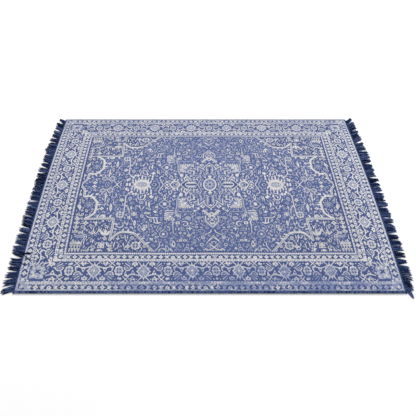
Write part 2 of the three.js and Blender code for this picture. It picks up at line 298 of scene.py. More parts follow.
# Flowers of the corner pieces, in the same columns.
CORNER_FLOWERS = (
    ("four", 606, 258, 0, 14, 0), ("spear", 557, 242, 92, 40, 8), ("leaf", 546, 250, 50, 26, 6),
    ("leaf", 572, 244, 130, 26, 7), ("hollow", 586, 262, 110, 36, 10), ("four", 526, 246, 45, 8, 0),
    ("hollow", 512, 268, 100, 24, 11), ("cup", 494, 250, 270, 16, 18), ("leaf", 496, 270, 85, 26, 7),
    ("ring", 616, 280, 0, 10, 0.2), ("leaf", 600, 284, 60, 18, 8), ("ring", 664, 306, 0, 8, 0.4),
    ("ring", 626, 314, 0, 8, 0.45), ("crescent", 600, 310, 200, 15, 6), ("hollow", 590, 328, 60, 34, 12),
    ("lily", 569, 326, 270, 26, 24), ("cup", 552, 318, 270, 24, 40), ("ring", 552, 326, 0, 6, 0.1),
    ("leaf", 566, 290, 110, 26, 7), ("leaf", 578, 300, 70, 20, 6), ("four", 536, 300, 0, 9, 0),
    ("cloud", 622, 334, 0, 27, 8), ("leaf", 614, 364, 42, 22, 9), ("leaf", 596, 350, 88, 34, 6),
    ("leaf", 606, 350, 88, 40, 6), ("cup", 594, 408, 92, 34, 44), ("leaf", 590, 384, 60, 20, 7),
    ("leaf", 650, 346, 110, 26, 7), ("cup", 662, 350, 280, 12, 24), ("heart", 508, 312, 90, 38, 36),
    ("four", 508, 346, 0, 12, 0), ("cup", 508, 330, 270, 44, 44), ("cup", 568, 392, 100, 26, 44),
    ("hollow", 566, 344, 80, 26, 12), ("leaf", 552, 350, 70, 26, 8), ("four", 576, 408, 0, 7, 0),
    ("four", 559, 410, 0, 6, 0), ("lily", 528, 404, 100, 40, 30), ("petals", 520, 384, 0, 22, 0),
    ("hollow", 500, 366, 120, 34, 12), ("leaf", 536, 366, 60, 24, 7), ("cup", 548, 396, 0, 18, 18),
    ("zig", 480, 380, 100, 40, 26), ("leaf", 494, 400, 160, 26, 8), ("leaf", 490, 372, 80, 18, 6),
    ("four", 447, 348, 0, 9, 0), ("cup", 425, 344, 270, 18, 20), ("leaf", 410, 326, 92, 36, 6),
    ("leaf", 400, 324, 92, 34, 6), ("ring", 381, 344, 0, 10, 0.4), ("leaf", 436, 372, 80, 34, 7),
    ("leaf", 456, 362, 85, 40, 7), ("leaf", 446, 396, 60, 18, 7), ("four", 398, 390, 0, 13, 0),
    ("cup", 414, 400, 180, 16, 24), ("leaf", 420, 366, 105, 30, 7), ("rosette", 363, 385, 0, 22, 0),
    ("cup", 336, 396, 40, 22, 20), ("leaf", 346, 352, 130, 16, 7), ("ring", 322, 388, 0, 9, 0.4),
    ("leaf", 304, 404, 130, 18, 7), ("leaf", 390, 362, 60, 20, 7), ("leaf", 408, 352, 110, 18, 7),
    ("leaf", 440, 326, 60, 16, 6), ("leaf", 462, 340, 80, 18, 6), ("four", 344, 368, 0, 7, 0),
    # the piece beside the short side
    ("faint", 606, 146, 0, 27, 0), ("ring", 658, 72, 0, 9, 0.5),
    ("spear", 648, 172, 270, 34, 13), ("leaf", 638, 150, 80, 34, 7), ("leaf", 626, 196, 60, 20, 7),
    ("hollow", 650, 118, 80, 28, 10), ("leaf", 654, 100, 110, 20, 7), ("four", 655, 152, 0, 8, 0),
    ("leaf", 590, 196, 80, 18, 7), ("cup", 634, 214, 270, 22, 20), ("leaf", 654, 34, 80, 26, 7),
    ("leaf", 658, 56, 100, 12, 6), ("leaf", 632, 108, 60, 20, 7), ("leaf", 582, 180, 60, 16, 6),
    ("hollow", 654, 196, 88, 30, 10),
)


def flower(form, x, y, turn, a, b, ground):
    """Draws one row of a table of flowers. In the field, thin leaves and scrolls have the paler tone."""
    thin = PALE if ground == FIELD else IVORY
    if form == "leaf":
        leaf(thin if a < 20 else IVORY, (x, y), turn, a, 0.84 * b, lean=0.1 if (x + y) % 2 else -0.1)
    elif form == "pale_leaf":
        leaf(PALE, (x, y), turn, a, b, core=MID)
    elif form == "hollow":
        leaf(thin, (x, y), turn, a, b + 1.5, core=ground, lean=0.06, hollow=0.55)
    elif form == "almond":
        leaf(IVORY, (x, y), turn, a, b, core=DEEP)
    elif form == "spear":
        leaf(IVORY, (x, y), turn, a, b, core=PALE, hollow=0.4)
    elif form == "crescent":
        crescent(IVORY, (x, y), turn, a, b, 230)
    elif form == "cup":
        cup(thin, (x, y), turn, a, b, 4.2)
    elif form == "dot":
        disk(IVORY, (x, y), a, n=7)
    elif form == "ring":
        ring_flower((x, y), a, b, ground)
    elif form == "big_ring":
        disk(PALE, (x, y), a, 4, 0.1)
        disk(ground, (x, y), 0.78 * a, 4, 0.1)
        disk(IVORY, (x, y), 0.34 * a, squash=1.2, n=12)
        for k in range(4):
            disk(PALE, turned([(0.55 * a, 0)], (x, y), 45 + 90 * k)[0], 3, n=6)
    elif form == "four":
        four_petals((x, y), a, turn, ground)
    elif form == "petals":
        for k in range(4):
            leaf(thin, (x, y), 45 + 90 * k, a, 0.72 * a, core=ground, hollow=0.4)
            leaf(IVORY, (x, y), 90 * k, 0.8 * a, 0.3 * a)
    elif form == "square":
        lay(IVORY, turned([(-a, -a), (a, -a), (a, a), (-a, a)], (x, y), turn))
        disk(ground, (x, y), 0.5 * a, n=6)
    elif form == "star":
        for k in range(4):
            leaf(IVORY, (x, y), 90 * k, a, 0.42 * a)
        disk(IVORY, (x, y), 0.3 * a, n=8)
    elif form == "tulip":
        tulip(IVORY, (x, y), turn, a, b, ground)
    elif form == "lily":
        for k in (-1, 0, 1):
            leaf(IVORY, (x, y), turn + 38 * k, b, 0.34 * a, core=ground, hollow=0.35)
    elif form == "zig":
        for k in range(3):
            lay(IVORY, turned([(a * k / 3, -2), (a * (k + 0.5) / 3, b / 2), (a * (k + 1) / 3, 2),
                               (a * (k + 0.5) / 3, -b / 2)], (x, y), turn))
        band(ground, turned([(2, 0), (a - 2, 0)], (x, y), turn), 2.4, straight=True)
    elif form == "heart":
        for k in (-1, 0, 1):
            leaf(IVORY, (x, y + 0.5 * a), 270 + 42 * k, a, 0.5 * b)
        for k in (-1, 1):
            leaf(ground, (x + 4.5 * k, y + 6), 270 + 24 * k, 16, 3.5)
    elif form == "palmette":
        palmette((x, y), turn, a, b, ground)
    elif form == "faint":
        disk(BORDER, (x, y), a, squash=1.1)
        disk(FIELD, (x, y), 0.88 * a, 8, 0.06, squash=1.1)
        for k in range(6):
            leaf(PALE, (x, y), 60 * k + 20, 0.72 * a, 0.2 * a, core=MID, hollow=0.5)
        crescent(PALE, (x, y), 80, 0.76 * a, 3.4, 280)
        crescent(PALE, (x, y), 60, 0.42 * a, 3.4, 200)
        for k in range(5):
            leaf(PALE, (x + 0.4 * a * (k - 2), y - 0.9 * a), 250 + 10 * k, 0.5 * a, 4)
    elif form == "rosette":
        rosette(np.array([x, y]), a, ground)
    elif form == "cloud":
        disk(PALE, (x, y), a, 6, 0.06, squash=b / a)
        disk(MID, (x, y), 0.7 * a, squash=0.5 * b / a)
    elif form == "oval":
        disk(PALE, (x, y), a, squash=b, turn=turn)
        for k in (-1, 0, 1):
            leaf(ground, (x + 0.45 * a * k, y - 0.6 * a * min(b, 1)), 90, 1.2 * a * min(b, 1), 2.6)


# Stems and outlines of the field. Columns: width, tone, points.
STEMS = (
    (6.0, IVORY, [(192, 232), (191, 250), (192, 266)]), (3.6, IVORY, [(192, 264), (191, 290), (190, 316)]),
    (3.6, PALE, [(192, 240), (206, 250), (214, 262)]), (3.6, PALE, [(307, 244), (306, 280), (300, 316)]),
    (5.0, IVORY, [(428, 82), (428, 130), (430, 200)]), (4.4, IVORY, [(414, 62), (420, 72), (428, 84)]),
    (4.4, IVORY, [(443, 76), (436, 80), (428, 84)]),
    (4.4, IVORY, [(428, 144), (412, 160), (406, 172), (404, 196)]),
    (3.6, PALE, [(446, 172), (436, 170), (428, 168)]), (4.0, PALE, [(462, 90), (452, 104), (440, 110)]),
    (5.6, IVORY, [(318, 204), (306, 214), (286, 214), (272, 214), (267, 236), (265, 250)]),
    (7.0, IVORY, [(284, 246), (266, 252), (250, 246)]), (4.5, IVORY, [(287, 212), (282, 228), (280, 244)]),
    (4.0, PALE, [(172, 162), (150, 173), (96, 172)]),
    (3.6, PALE, [(111, 274), (100, 264), (91, 254)]), (3.6, PALE, [(91, 254), (84, 266), (82, 272)]),
    (4.4, IVORY, [(274, 416), (262, 400), (253, 384), (254, 370), (246, 366)]),
    (5.0, IVORY, [(258, 418), (248, 402), (228, 402), (208, 402), (190, 418)]),
    (3.6, IVORY, [(230, 402), (226, 410), (222, 418)]), (4.4, IVORY, [(500, 24), (486, 8), (470, -12)]),
    (4.4, IVORY, [(464, 22), (480, 4), (494, -12)]),
    (4.6, IVORY, [(-22, 374), (0, 395), (22, 409), (40, 402)]),
    (4.6, IVORY, [(22, 374), (0, 395), (-22, 409)]),
    (4.0, IVORY, [(0, 330), (14, 346), (26, 362), (12, 350), (0, 342)]),
    (5.0, IVORY, [(188, 165), (226, 165)]), (4.6, IVORY, [(186, 177), (222, 177)]),
    (4.6, IVORY, [(190, 187), (222, 188)]), (5.0, IVORY, [(8, 298), (14, 312), (28, 320)]),
    (4.0, PALE, [(128, 290), (122, 306), (112, 330), (112, 352)]),
    (4.0, PALE, [(94, 310), (104, 322), (112, 336)]), (3.6, PALE, [(329, 312), (304, 342), (277, 368)]),
    (3.6, PALE, [(98, 210), (92, 226), (98, 240)]), (3.6, PALE, [(78, 212), (64, 232), (66, 250)]),
    (4.6, IVORY, [(202, 10), (190, 22), (180, 36)]), (4.6, IVORY, [(202, 34), (196, 46), (204, 62)]),
    (3.6, PALE, [(152, 66), (160, 80), (168, 92)]), (3.6, PALE, [(330, 262), (340, 282), (356, 298)]),
    (3.6, PALE, [(404, 200), (398, 226), (408, 240)]), (3.6, PALE, [(428, 210), (440, 232), (460, 240)]),
    (3.4, PALE, [(546, 26), (548, 44), (544, 60)]), (3.4, PALE, [(240, 258), (256, 264), (262, 280)]),
)
for width, tone, points in STEMS:
    band(tone, points, width)
for row in FIELD_FLOWERS:
    flower(*row, FIELD)
for row in CORNER_FLOWERS:
    flower(*row, BORDER)

# The leaf stack and the row of arches in each corner.
for k in range(4):
    disk(IVORY, (648, 226 + 25 * k), 6.5, 4, 0.2, n=12)
    for side in (-1, 1):
        leaf(IVORY, (648, 240 + 25 * k), 90 - 140 * side, 22, 8, core=BORDER, lean=0.12 * side, hollow=0.3)
band(IVORY, [(648, 232), (648, 262), (648, 308)], 3.6)
for k in range(4):
    x = 618.5 + 13.6 * k
    leaf(IVORY, (x, 362), 90, 62, 14, core=DEEP, hollow=0.62)
    disk(IVORY, (x, 386), 3.2, n=6)
    disk(IVORY, (x, 402), 3.6, n=6)
    leaf(IVORY, (x + 6.8, 352), 90, 26, 5)

# The fans that stand at the medallion's shoulders, each in the angle of an outline, with a crown of petals.
square_fan((99, 87), 60, 5)
square_fan((179, 179), 50, 4)
for k in range(3):
    leaf(IVORY, (114 + 15 * k, 98), 285 - 18 * k, 20, 8)
    leaf(IVORY, (104, 112 + 15 * k), 160 + 20 * k, 13, 7)
for k in range(3):
    leaf(PALE, (171 - 8 * k, 184), 95, 34 - 3 * k, 7.5)
    leaf(IVORY, (172 - 8 * k, 187 + 9 * k), 100, 17, 4.6)
band(PALE, [(157, 68), (167, 84), (170, 104), (170, 140), (177, 160), (181, 184)], 7, 0.5, 0.5)
band(IVORY, [(78, 93), (98, 96), (108, 108)], 5)
lay(IVORY, [(150, 47), (158, 58), (161, 72), (139, 72), (146, 58)])
band(IVORY, [(98, 26), (113, 47), (129, 70)], 5)
band(IVORY, [(111, 25), (123, 39)], 6.5)

# The lotus at each end of the medallion: a broad ivory heart, hanging petals and a ring of drops.
LOTUS = np.array([354.0, 0.0])
disk(IVORY, LOTUS, 43, 9, 0.05, squash=0.84)
for dx, length in ((-42, 26), (-29, 32), (-14, 32), (2, 46), (17, 32), (32, 31), (43, 24)):
    leaf(IVORY, LOTUS + (dx, 26 - 0.012 * dx * dx), 90 - 0.3 * dx, length, 9)
band(IVORY, [(355, 62), (345, 59), (333, 54)], 4)
LOTUS_DROPS = (
    # x, y, radius, height as a share of the width
    (402, 52, 6, 1.4), (393, 66, 6, 1.2), (379, 65, 5, 1.9), (413, 62, 5, 1), (404, 32, 5, 1.2),
    (430, 32, 4.5, 2.2), (416, 4, 5, 1.5), (431, 5, 5, 1.3), (420, 44, 4.5, 1.3), (303, 38, 5, 1.3),
    (302, 54, 4.5, 1.8), (298, 78, 8, 0.9), (316, 62, 4, 1.4), (331, 72, 5, 1.7), (404, 14, 4, 1.2),
)
for x, y, r, tall in LOTUS_DROPS:
    disk(IVORY, (x, y), 1.15 * r, squash=tall)
cup(IVORY, (350, 101), 270, 35, 30, 6)
leaf(IVORY, (353, 74), 90, 20, 8)
for k in range(9):
    a = math.radians(9 + 20 * k)
    leaf(BORDER, LOTUS + (37 * math.cos(a), 31 * math.sin(a)), math.degrees(a), 11, 3)
disk(PALE, LOTUS, 29, 12, 0.05, squash=0.66)
for k in range(5):
    leaf(MID, LOTUS + (-26 + 11 * k, -8), 55, 22, 3.4)
    leaf(IVORY, LOTUS + (-20 + 11 * k, -8), 55, 22, 5)
for k in range(6):
    leaf(MID, turned([(9, 0)], LOTUS, 30 + 60 * k)[0], 30 + 60 * k, 14, 4)
disk(PALE, LOTUS, 6, n=9)
leaf(PALE, (276, 0), 0, 29, 22, core=BORDER, hollow=0.62)
disk(DEEP, (291, 0), 4.5, squash=1.6)
disk(IVORY, (282, 0), 3, n=6)
for x, tone in ((262, PALE), (244, IVORY)):
    band(tone, [(x + 16, 30), (x + 6, 14), (x, 0), (x + 6, -14)], 5)
    disk(DEEP, (x + 9, 0), 3.6, squash=1.5)

# The round centre: an ivory ring about an eight-petalled flower, with a frill of small petals and a cap.
for k in range(14):
    leaf(PALE, turned([(40, 0)], (0, 0), (k + 0.5) * 360 / 14)[0], (k + 0.5) * 360 / 14, 16, 8)
disk(DEEP, (0, 0), 40, squash=1.16, n=32)
disk(IVORY, (0, 0), 36, squash=1.16, n=32)
disk(MID, (0, 0), 29, squash=1.18, n=24)
for k in range(8):
    leaf(PALE, (0, 0), 22.5 + 45 * k, 25, 10)
    disk(BORDER, turned([(22, 0)], (0, 0), 45 * k)[0], 3.4, n=6)
disk(DEEP, (0, 0), 5.5, squash=1.3, n=8)
disk(IVORY, (-2, 0), 2, n=5)
lay(IVORY, [(-4, 40), (4, 40), (4.5, 45), (11, 50), (7, 57), (0, 60), (-4, 60)])
band(PALE, [(61, 0), (57, 16), (49, 30), (45, 48)], 5)
band(PALE, [(45, 48), (60, 57), (78, 61), (98, 61)], 4.2)
for x, y in ((47, 2), (85, 29), (84, 46), (66, 34), (26, 47), (66, 48), (104, 52)):
    disk(IVORY, (x, y), 3.6, squash=1.3, n=6)

# The dark fishbone on each side of the centre, with chevrons at its tip.
lay(PALE, [(64, -3), (64, 4), (74, 15), (90, 21), (108, 18), (127, 4), (127, -3)])
for x in (84, 95, 106):
    disk(IVORY, (x, 14), 5.2, n=8)
    disk(BORDER, (x - 5.5, 18), 2.6, n=5)
lay(DEEP, [(68, -4), (68, 3), (76, 4.5), (84, 3), (92, 5), (100, 3.5), (121, 4), (127, 0), (127, -4)])
band(DEEP, [(114, 26), (130, 12), (137, 0), (130, -12)], 4.6)
band(IVORY, [(110, 19), (123, 10), (129, 0), (123, -10)], 4)
band(IVORY, [(116, 35), (132, 22), (147, 8), (151, 0), (147, -8)], 4.6)
disk(DEEP, (143, 0), 3, squash=2.6)
disk(DEEP, (148, 15), 4.5, n=7)
leaf(IVORY, (147, 18), 88, 22, 9)

# The pendant on each side: an ivory lozenge with a ring and a dark eye, and petals that hang from it.
lay(IVORY, [(212, -3), (212, 0), (200, 14), (187, 25), (171, 25), (160, 14), (155, 4), (155, -3)])
lay(FIELD, [(205, -3), (205, 0), (196, 10), (185, 18), (173, 18), (164, 9), (162, -3)])
disk(PALE, (179, 0), 14.5, n=16)
disk(FIELD, (180, 0), 9.5, n=12)
disk(IVORY, (176, 0), 4, n=7)
disk(DEEP, (186, 0), 3.8, n=7)
disk(DEEP, (199, 0), 3.6, squash=2.2)
band(IVORY, [(202, 12), (189, 26), (179, 40)], 6.5, 1, 0.6)
leaf(IVORY, (168, 21), 90, 19, 9)
disk(IVORY, (223, 0), 6.5, 4, 0.15, n=12)
band(IVORY, [(210, 8), (222, 16), (232, 28)], 4.6)
band(IVORY, [(236, 4), (230, 14), (214, 28)], 4.6)

# The palmette above and below the centre, a shield with a dark heart, in a zigzag outline.
lay(MID, [(-4, 70), (9, 71), (17, 84), (20, 108), (18, 124), (0, 145), (-4, 145)])
band(IVORY, [(8, 73), (16, 85), (18, 106), (16, 124), (0, 142)], 3.2)
lay(BORDER, [(-4, 76), (6, 77), (12, 88), (14, 108), (12, 120), (0, 135), (-4, 135)])
leaf(PALE, (9, 82), 88, 38, 5)
lay(DEEP, [(-4, 90), (2.2, 90), (2.2, 112), (0, 118), (-4, 118)])
for y in (82, 94, 106, 117):
    disk(PALE, (6.8, y), 2.4, n=5)
leaf(PALE, (13.5, 88), 86, 26, 3.4)
disk(IVORY, (0, 131), 5.5, n=8)
band(DEEP, [(21, 126), (9, 140), (0, 147), (-9, 140)], 4)
band(IVORY, [(36, 108), (27, 127), (11, 144), (0, 152), (-11, 144)], 4.8, straight=True)
disk(DEEP, (0, 142), 4, n=6)
disk(IVORY, (0, 158), 4.6, n=7)
band(IVORY, [(63, 90), (63, 131)], 5.6, straight=True)
band(IVORY, [(62, 130), (46, 116), (27, 100)], 4.6, straight=True)
band(PALE, [(58, 143), (41, 126), (27, 113)], 4.2, straight=True)
band(IVORY, [(49, 134), (40, 151), (31, 137)], 5, straight=True)
disk(IVORY, (63, 153), 6.5, squash=1.3)
leaf(IVORY, (88, 124), 90, 22, 9)
leaf(IVORY, (78, 104), 80, 14, 8)
cup(PALE, (38, 93), 270, 15, 26, 4.4)
band(PALE, [(49, 76), (48, 94), (54, 108)], 4.6)
band(IVORY, [(90, 66), (79, 78), (87, 90)], 4.8)
disk(IVORY, (110, 78), 4, squash=1.3)
band(PALE, [(100, 66), (101, 84), (98, 92)], 4.2)

# The crown and the pointed finial over and under the centre.
for side in (-1, 1):
    for k in range(4):
        at = (36 * side - 9.5 * side * k, 168 + 11.5 * k)
        disk(IVORY, at, 7.6, 4, 0.3, n=12)
        leaf(IVORY, at, 90 - 55 * side, 15, 5)
        disk(BORDER, at, 2.4, n=5)
disk(IVORY, (0, 189), 12, 6, 0.05)
tulip(DEEP, (0, 196), 270, 12, 12)
for gap, width, tone in ((0, 4.8, IVORY), (8.5, 3.4, PALE)):
    band(tone, [(31 + gap, 203), (31 + gap, 241)], width, straight=True)
    band(tone, [(31 + gap, 240), (0, 279 + 1.2 * gap)], width, straight=True)
band(IVORY, [(17, 208), (0, 228), (-12, 243)], 4.2, straight=True)
band(IVORY, [(0, 228), (13, 243), (0, 260), (-13, 243)], 4.2, straight=True)
lay(IVORY, [(11, 225), (23, 218), (22, 232)])
disk(DEEP, (0, 244), 3.6, n=6)
disk(IVORY, (18, 245), 3, n=6)

# The cusped line over the rest of the field, ivory in a dark edge, some of it with a blue thread along it,
# and its thorns.
for tone, width in ((BORDER, 15.5), (IVORY, 11.5)):
    for part in LINE:
        band(tone, part, width)
for k in (0, 2, 7):
    band(FIELD, LINE[k], 2.6)
band(PALE, LINE[3], 5)
THORNS = (
    # x, y, turn, length
    (556, 228, 250, 24), (525, 228, 250, 24), (495, 228, 250, 24), (475, 262, 160, 24), (475, 292, 160, 24),
    (428, 312, 255, 22), (401, 312, 265, 22), (365, 330, 200, 26), (342, 354, 205, 26), (318, 378, 205, 26),
    (568, 178, 200, 22), (566, 148, 200, 24), (570, 124, 150, 16), (604, 82, 235, 18), (590, 92, 190, 16),
    (641, 50, 185, 22), (620, 85, 250, 16),
)
for x, y, turn, length in THORNS:
    leaf(IVORY, (x, y), turn, length, 10, lean=0.12)

# Curls, scrolls and small leaves fill what room is left in the field, as the weaver's filling does. Each is
# tried at the next place of a seeded scatter, and laid where neither it nor a margin round it meets a shape.
rng = np.random.default_rng(7)
CELL = 1.5  # of the grid that keeps which room is filled
gx, gy = np.meshgrid(np.arange(0, 672, CELL), np.arange(0, 424, CELL), indexing="ij")
filled = ~np.isin(tones_at(np.c_[gx.ravel(), gy.ravel()]), (BORDER, FIELD)).reshape(gx.shape)
SCROLLS = {
    # a volute, a double volute, an S, a hooked stem, a curl and a small curl, each as points of its curve
    "volute": [(-10, -7), (-10.5, 1), (-6, 7), (1, 8), (8, 4), (8, -3), (3, -6.5), (-2.5, -4), (-2, 1),
               (2, 1.5)],
    "double": [(-5, -2), (-9, -3), (-12, 1), (-9, 6), (-3, 6), (0, 1), (3, -4), (9, -5), (12, -1), (9, 3),
               (5, 2)],
    "ess": [(-12, 3), (-8, 6), (-3, 3.5), (0, 0), (3, -3.5), (8, -6), (12, -3)],
    "hook": [(-10, -4), (-4, -4.5), (2, -2), (5, 3), (1, 6), (-3, 3.5)],
    "curl": [(-7, -3), (-4, 2.5), (1, 4), (5.5, 1), (3, -3), (0, -1)],
    "small_curl": [(-4.5, -2.5), (-1, 2), (3.5, 1), (3, -2.5)],
}
FILLERS = (
    # tries, half length, half width, margin, form
    (500, 12.5, 10.0, 1.0, "volute"), (500, 14.0, 8.0, 1.0, "double"), (600, 12.0, 6.5, 1.0, "hollow"),
    (900, 14.0, 7.5, 1.0, "ess"), (1500, 11.5, 7.5, 1.0, "hook"), (1000, 6.5, 6.5, 1.0, "ring"),
    (900, 9.0, 5.2, 1.0, "hollow"), (3500, 8.0, 5.0, 1.0, "curl"), (2500, 7.5, 5.5, 1.0, "sprig"),
    (5000, 5.6, 3.6, 0.9, "small_curl"), (3000, 7.0, 2.4, 1.0, "leaf"), (3000, 4.6, 1.9, 1.1, "leaf"),
    (4000, 2.2, 2.2, 1.3, "dot"),
)
THREAD = 3.2  # the width of a line of one or two knots
for tries, half, wide, margin, form in FILLERS:
    for x, y, turn in zip(rng.uniform(2, 668, tries), rng.uniform(2, 418, tries), rng.uniform(0, 360, tries)):
        u, v = np.meshgrid(np.linspace(-1, 1, 13), np.linspace(-1, 1, 9))
        spot = turned(np.c_[u.ravel() * (half + margin), v.ravel() * (wide + margin)], (x, y), turn)
        i, j = np.round(spot / CELL).astype(int).T
        i, j = np.clip(np.abs(i), 0, filled.shape[0] - 1), np.clip(np.abs(j), 0, filled.shape[1] - 1)
        if filled[i, j].any() or x < half or y < half:
            continue
        tone = (IVORY, PALE, IVORY, PALE, PALE)[int(x + y) % 5]
        foot = turned([(-half, 0)], (x, y), turn)[0]
        if form in SCROLLS:
            curve = np.array(SCROLLS[form]) * (1, 1 if turn > 180 else -1)
            band(tone, turned(curve, (x, y), turn), THREAD)
        elif form == "ring":
            ring_flower((x, y), half, 0.34, FIELD, tone)
        elif form == "hollow":
            leaf(tone, foot, turn, 2 * half, 2 * wide, core=FIELD)
        elif form == "sprig":
            band(tone, turned([(-half, -wide), (0, 0), (half, -wide)], (x, y), turn), THREAD)
            leaf(tone, (x, y), turn + 90, wide, 4)
        elif form == "leaf":
            leaf(tone, foot, turn, 2 * half, 2 * wide, lean=0.1)
        else:
            disk(tone, (x, y), half, n=6)
        filled[i, j] = True

# The borders lie round the field like frames, over what of the field runs under them. Each row is how far
# from the long side's edge and from the short side's edge a frame begins, and its tone out to the next one.
GROUNDS = (
    (184, 188, DEEP), (180.5, 183, FIELD), (166, 168, PALE), (147, 145, IVORY), (134, 130, BORDER),
    (41, 46, IVORY), (27, 33, PALE),
)
for in_long, in_short, tone in GROUNDS:
    x, y = HALF_LENGTH - in_short, HALF_WIDTH - in_long
    lay(tone, [(-9, y), (x, y), (x, -9), (860, -9), (860, 610), (-9, 610)])


def guard_motif(kind):
    """One motif of a guard stripe, along x from -21 to 21 and across y from -11 to 11: an ivory flower in a
    dark oval, between the halves of a dark bow or in a dark arch, or the bud between two of these."""
    if kind == "oval":
        lay(DEEP, [(-9, 11.5), (9, 11.5), (21, 4), (21, -4), (9, -11.5), (-9, -11.5), (-21, -4), (-21, 4)])
        disk(IVORY, (0, 0), 9.2, 4, 0.2, n=16)
        disk(BORDER, (0, 0), 2.6, n=6)
        for s in (-1, 1):
            disk(PALE, (14 * s, 0), 2.0, n=5)
    elif kind == "bow":
        for s in (-1, 1):
            lay(DEEP, [(2 * s, 11.5), (22 * s, 11), (14 * s, 3), (22 * s, -5), (19 * s, -11.5),
                       (2 * s, -11.5), (8 * s, 0)])
            lay(IVORY, [(10 * s, 5.5), (15 * s, 8), (13 * s, 4.5)])
        disk(IVORY, (0, 0), 9.2, 4, 0.24, n=16)
        disk(BORDER, (0, 0), 2.4, n=5)
    elif kind == "arch":
        lay(DEEP, [(-6, 11.5), (6, 11.5), (13, 7), (20, -3), (19, -9), (13, -9), (8, -2), (-8, -2), (-13, -9),
                   (-19, -9), (-20, -3), (-13, 7)])
        disk(IVORY, (0, -2), 9.2, 5, 0.18, 90)
        disk(BORDER, (0, -2), 2.6, n=5)
    else:
        disk(IVORY, (0, 0), 6.6, 4, 0.25, 45, n=12)
        for s in (-1, 1):
            leaf(BORDER, (-6, 9.6 * s), 0, 12, 4)
            disk(FIELD, (7.5 * s, 3.5 * s), 1.8, n=5)


def guard(kinds, start, pitch, count, to_rug):
    """A row of motifs along a guard, with a bud between each two."""
    global place
    for k in range(2 * count):
        at = start + pitch * k / 2
        place = lambda p, at=at: to_rug(p[:, 0] + at, p[:, 1])
        guard_motif(kinds[k // 2 % len(kinds)] if k % 2 == 0 else "bud")
    place = None


# The outer guard repeats every 55 mm, and each guard turns its corner on an arch set on the diagonal.
guard(("oval", "arch", "bow"), 0, 55, 15, lambda s, t: np.c_[s, HALF_WIDTH - 14.5 - t])
guard(("bow", "oval"), 27.5, 55, 10, lambda s, t: np.c_[HALF_LENGTH - 20.5 - t * 1.05, s])
guard(("arch", "bow", "oval"), 27.3, 54.6, 12, lambda s, t: np.c_[s, HALF_WIDTH - 156.5 - t * 0.86])
guard(("oval", "bow"), 0, 54.75, 8, lambda s, t: np.c_[HALF_LENGTH - 156.5 - t, s])
for corner in ((HALF_LENGTH - 20, HALF_WIDTH - 15), (HALF_LENGTH - 157, HALF_WIDTH - 157)):
    disk(PALE, corner, 13, 4, 0.1, 45)
    place = lambda p, corner=corner: turned(p * 0.8, corner, -45)
    guard_motif("arch")
place = None


def beads(tone, at, r, pitch, count, long_side, squash=1.0, uneven=0.0):
    """A row of small knots at a distance from a long or short side's edge, counted from the middle outwards.
    An uneven row has knots of different lengths at different gaps."""
    chance = np.random.default_rng(int(10 * at))
    turn, corners = 0 if long_side else 90, 6 if tone == IVORY else 4
    for k in range(count):
        shift, more = uneven * (chance.random(2) - 0.5)
        s = pitch * (k + 0.5 + 0.6 * shift)
        point = (s, HALF_WIDTH - at) if long_side else (HALF_LENGTH - at, s)
        disk(tone, point, r * (1 + more), turn=turn, squash=squash / (1 + more), n=corners)


# The plain stripes are flecked with short dashes, and a row of ivory knots edges the field.
for at, count in ((28.2, 71), (39.6, 71), (134.8, 61), (146.0, 60)):
    beads(FIELD, at, 3.6, 11.5, count, True, 0.5, 1.0)
for at, count in ((34.0, 50), (45.0, 49), (131.2, 40), (144.2, 39)):
    beads(FIELD, at, 4.2, 11.3, count, False, 0.66, 1.0)
for at, count in ((34, 71), (140.5, 61)):
    beads(MID, at, 4.4, 11.3, count, True, 0.55, 0.8)
for at, count in ((39.5, 49), (137.5, 39)):
    beads(FIELD, at, 5.0, 11.3, count, False, 0.6, 0.8)
beads(IVORY, 173.4, 4.5, 8.8, 77, True, 1.1)
beads(IVORY, 175.4, 4.3, 8.8, 48, False, 1.1, 0.5)
# Ivory flecks stand between the outer guards and the rug's edges, with a few dark ones.
beads(IVORY, 4.2, 4.6, 11.0, 76, True, 0.55, 1.0)
beads(IVORY, 5.2, 3.7, 11.5, 51, False, 0.7, 1.0)
beads(FIELD, 6.2, 3.0, 31.0, 27, True, 0.7, 1.0)
beads(FIELD, 7.0, 3.0, 29.0, 20, False, 0.8, 1.0)


# The main border: round rosettes and lobed diamonds in turn, joined by vines. A unit runs from a rosette to
# the next diamond, 107.3 mm on the long side, with s along the border and t across it, from 0 at its outer
# edge to 90. Every second pair of units is turned over, and on the short side the units are spread to fit.
UNIT = 107.3
MIDLINE = 46.5  # where the flowers' centres lie across the border


def set_side(side, start, way=1, over=False, reach=1.0):
    """Lays what follows in a unit of a side: start in units from the middle, way 1 outwards or -1 back."""
    global place

    def to_rug(p):
        """The unit's points s, t on the rug, where the short side's units are longer and narrower."""
        s, t = start * UNIT + way * reach * p[:, 0], (90 - p[:, 1] if over else p[:, 1])
        return np.c_[s, 559 - 1.033 * t] if side == "long" else np.c_[804 - 0.933 * t, 1.17 * s]

    place = to_rug


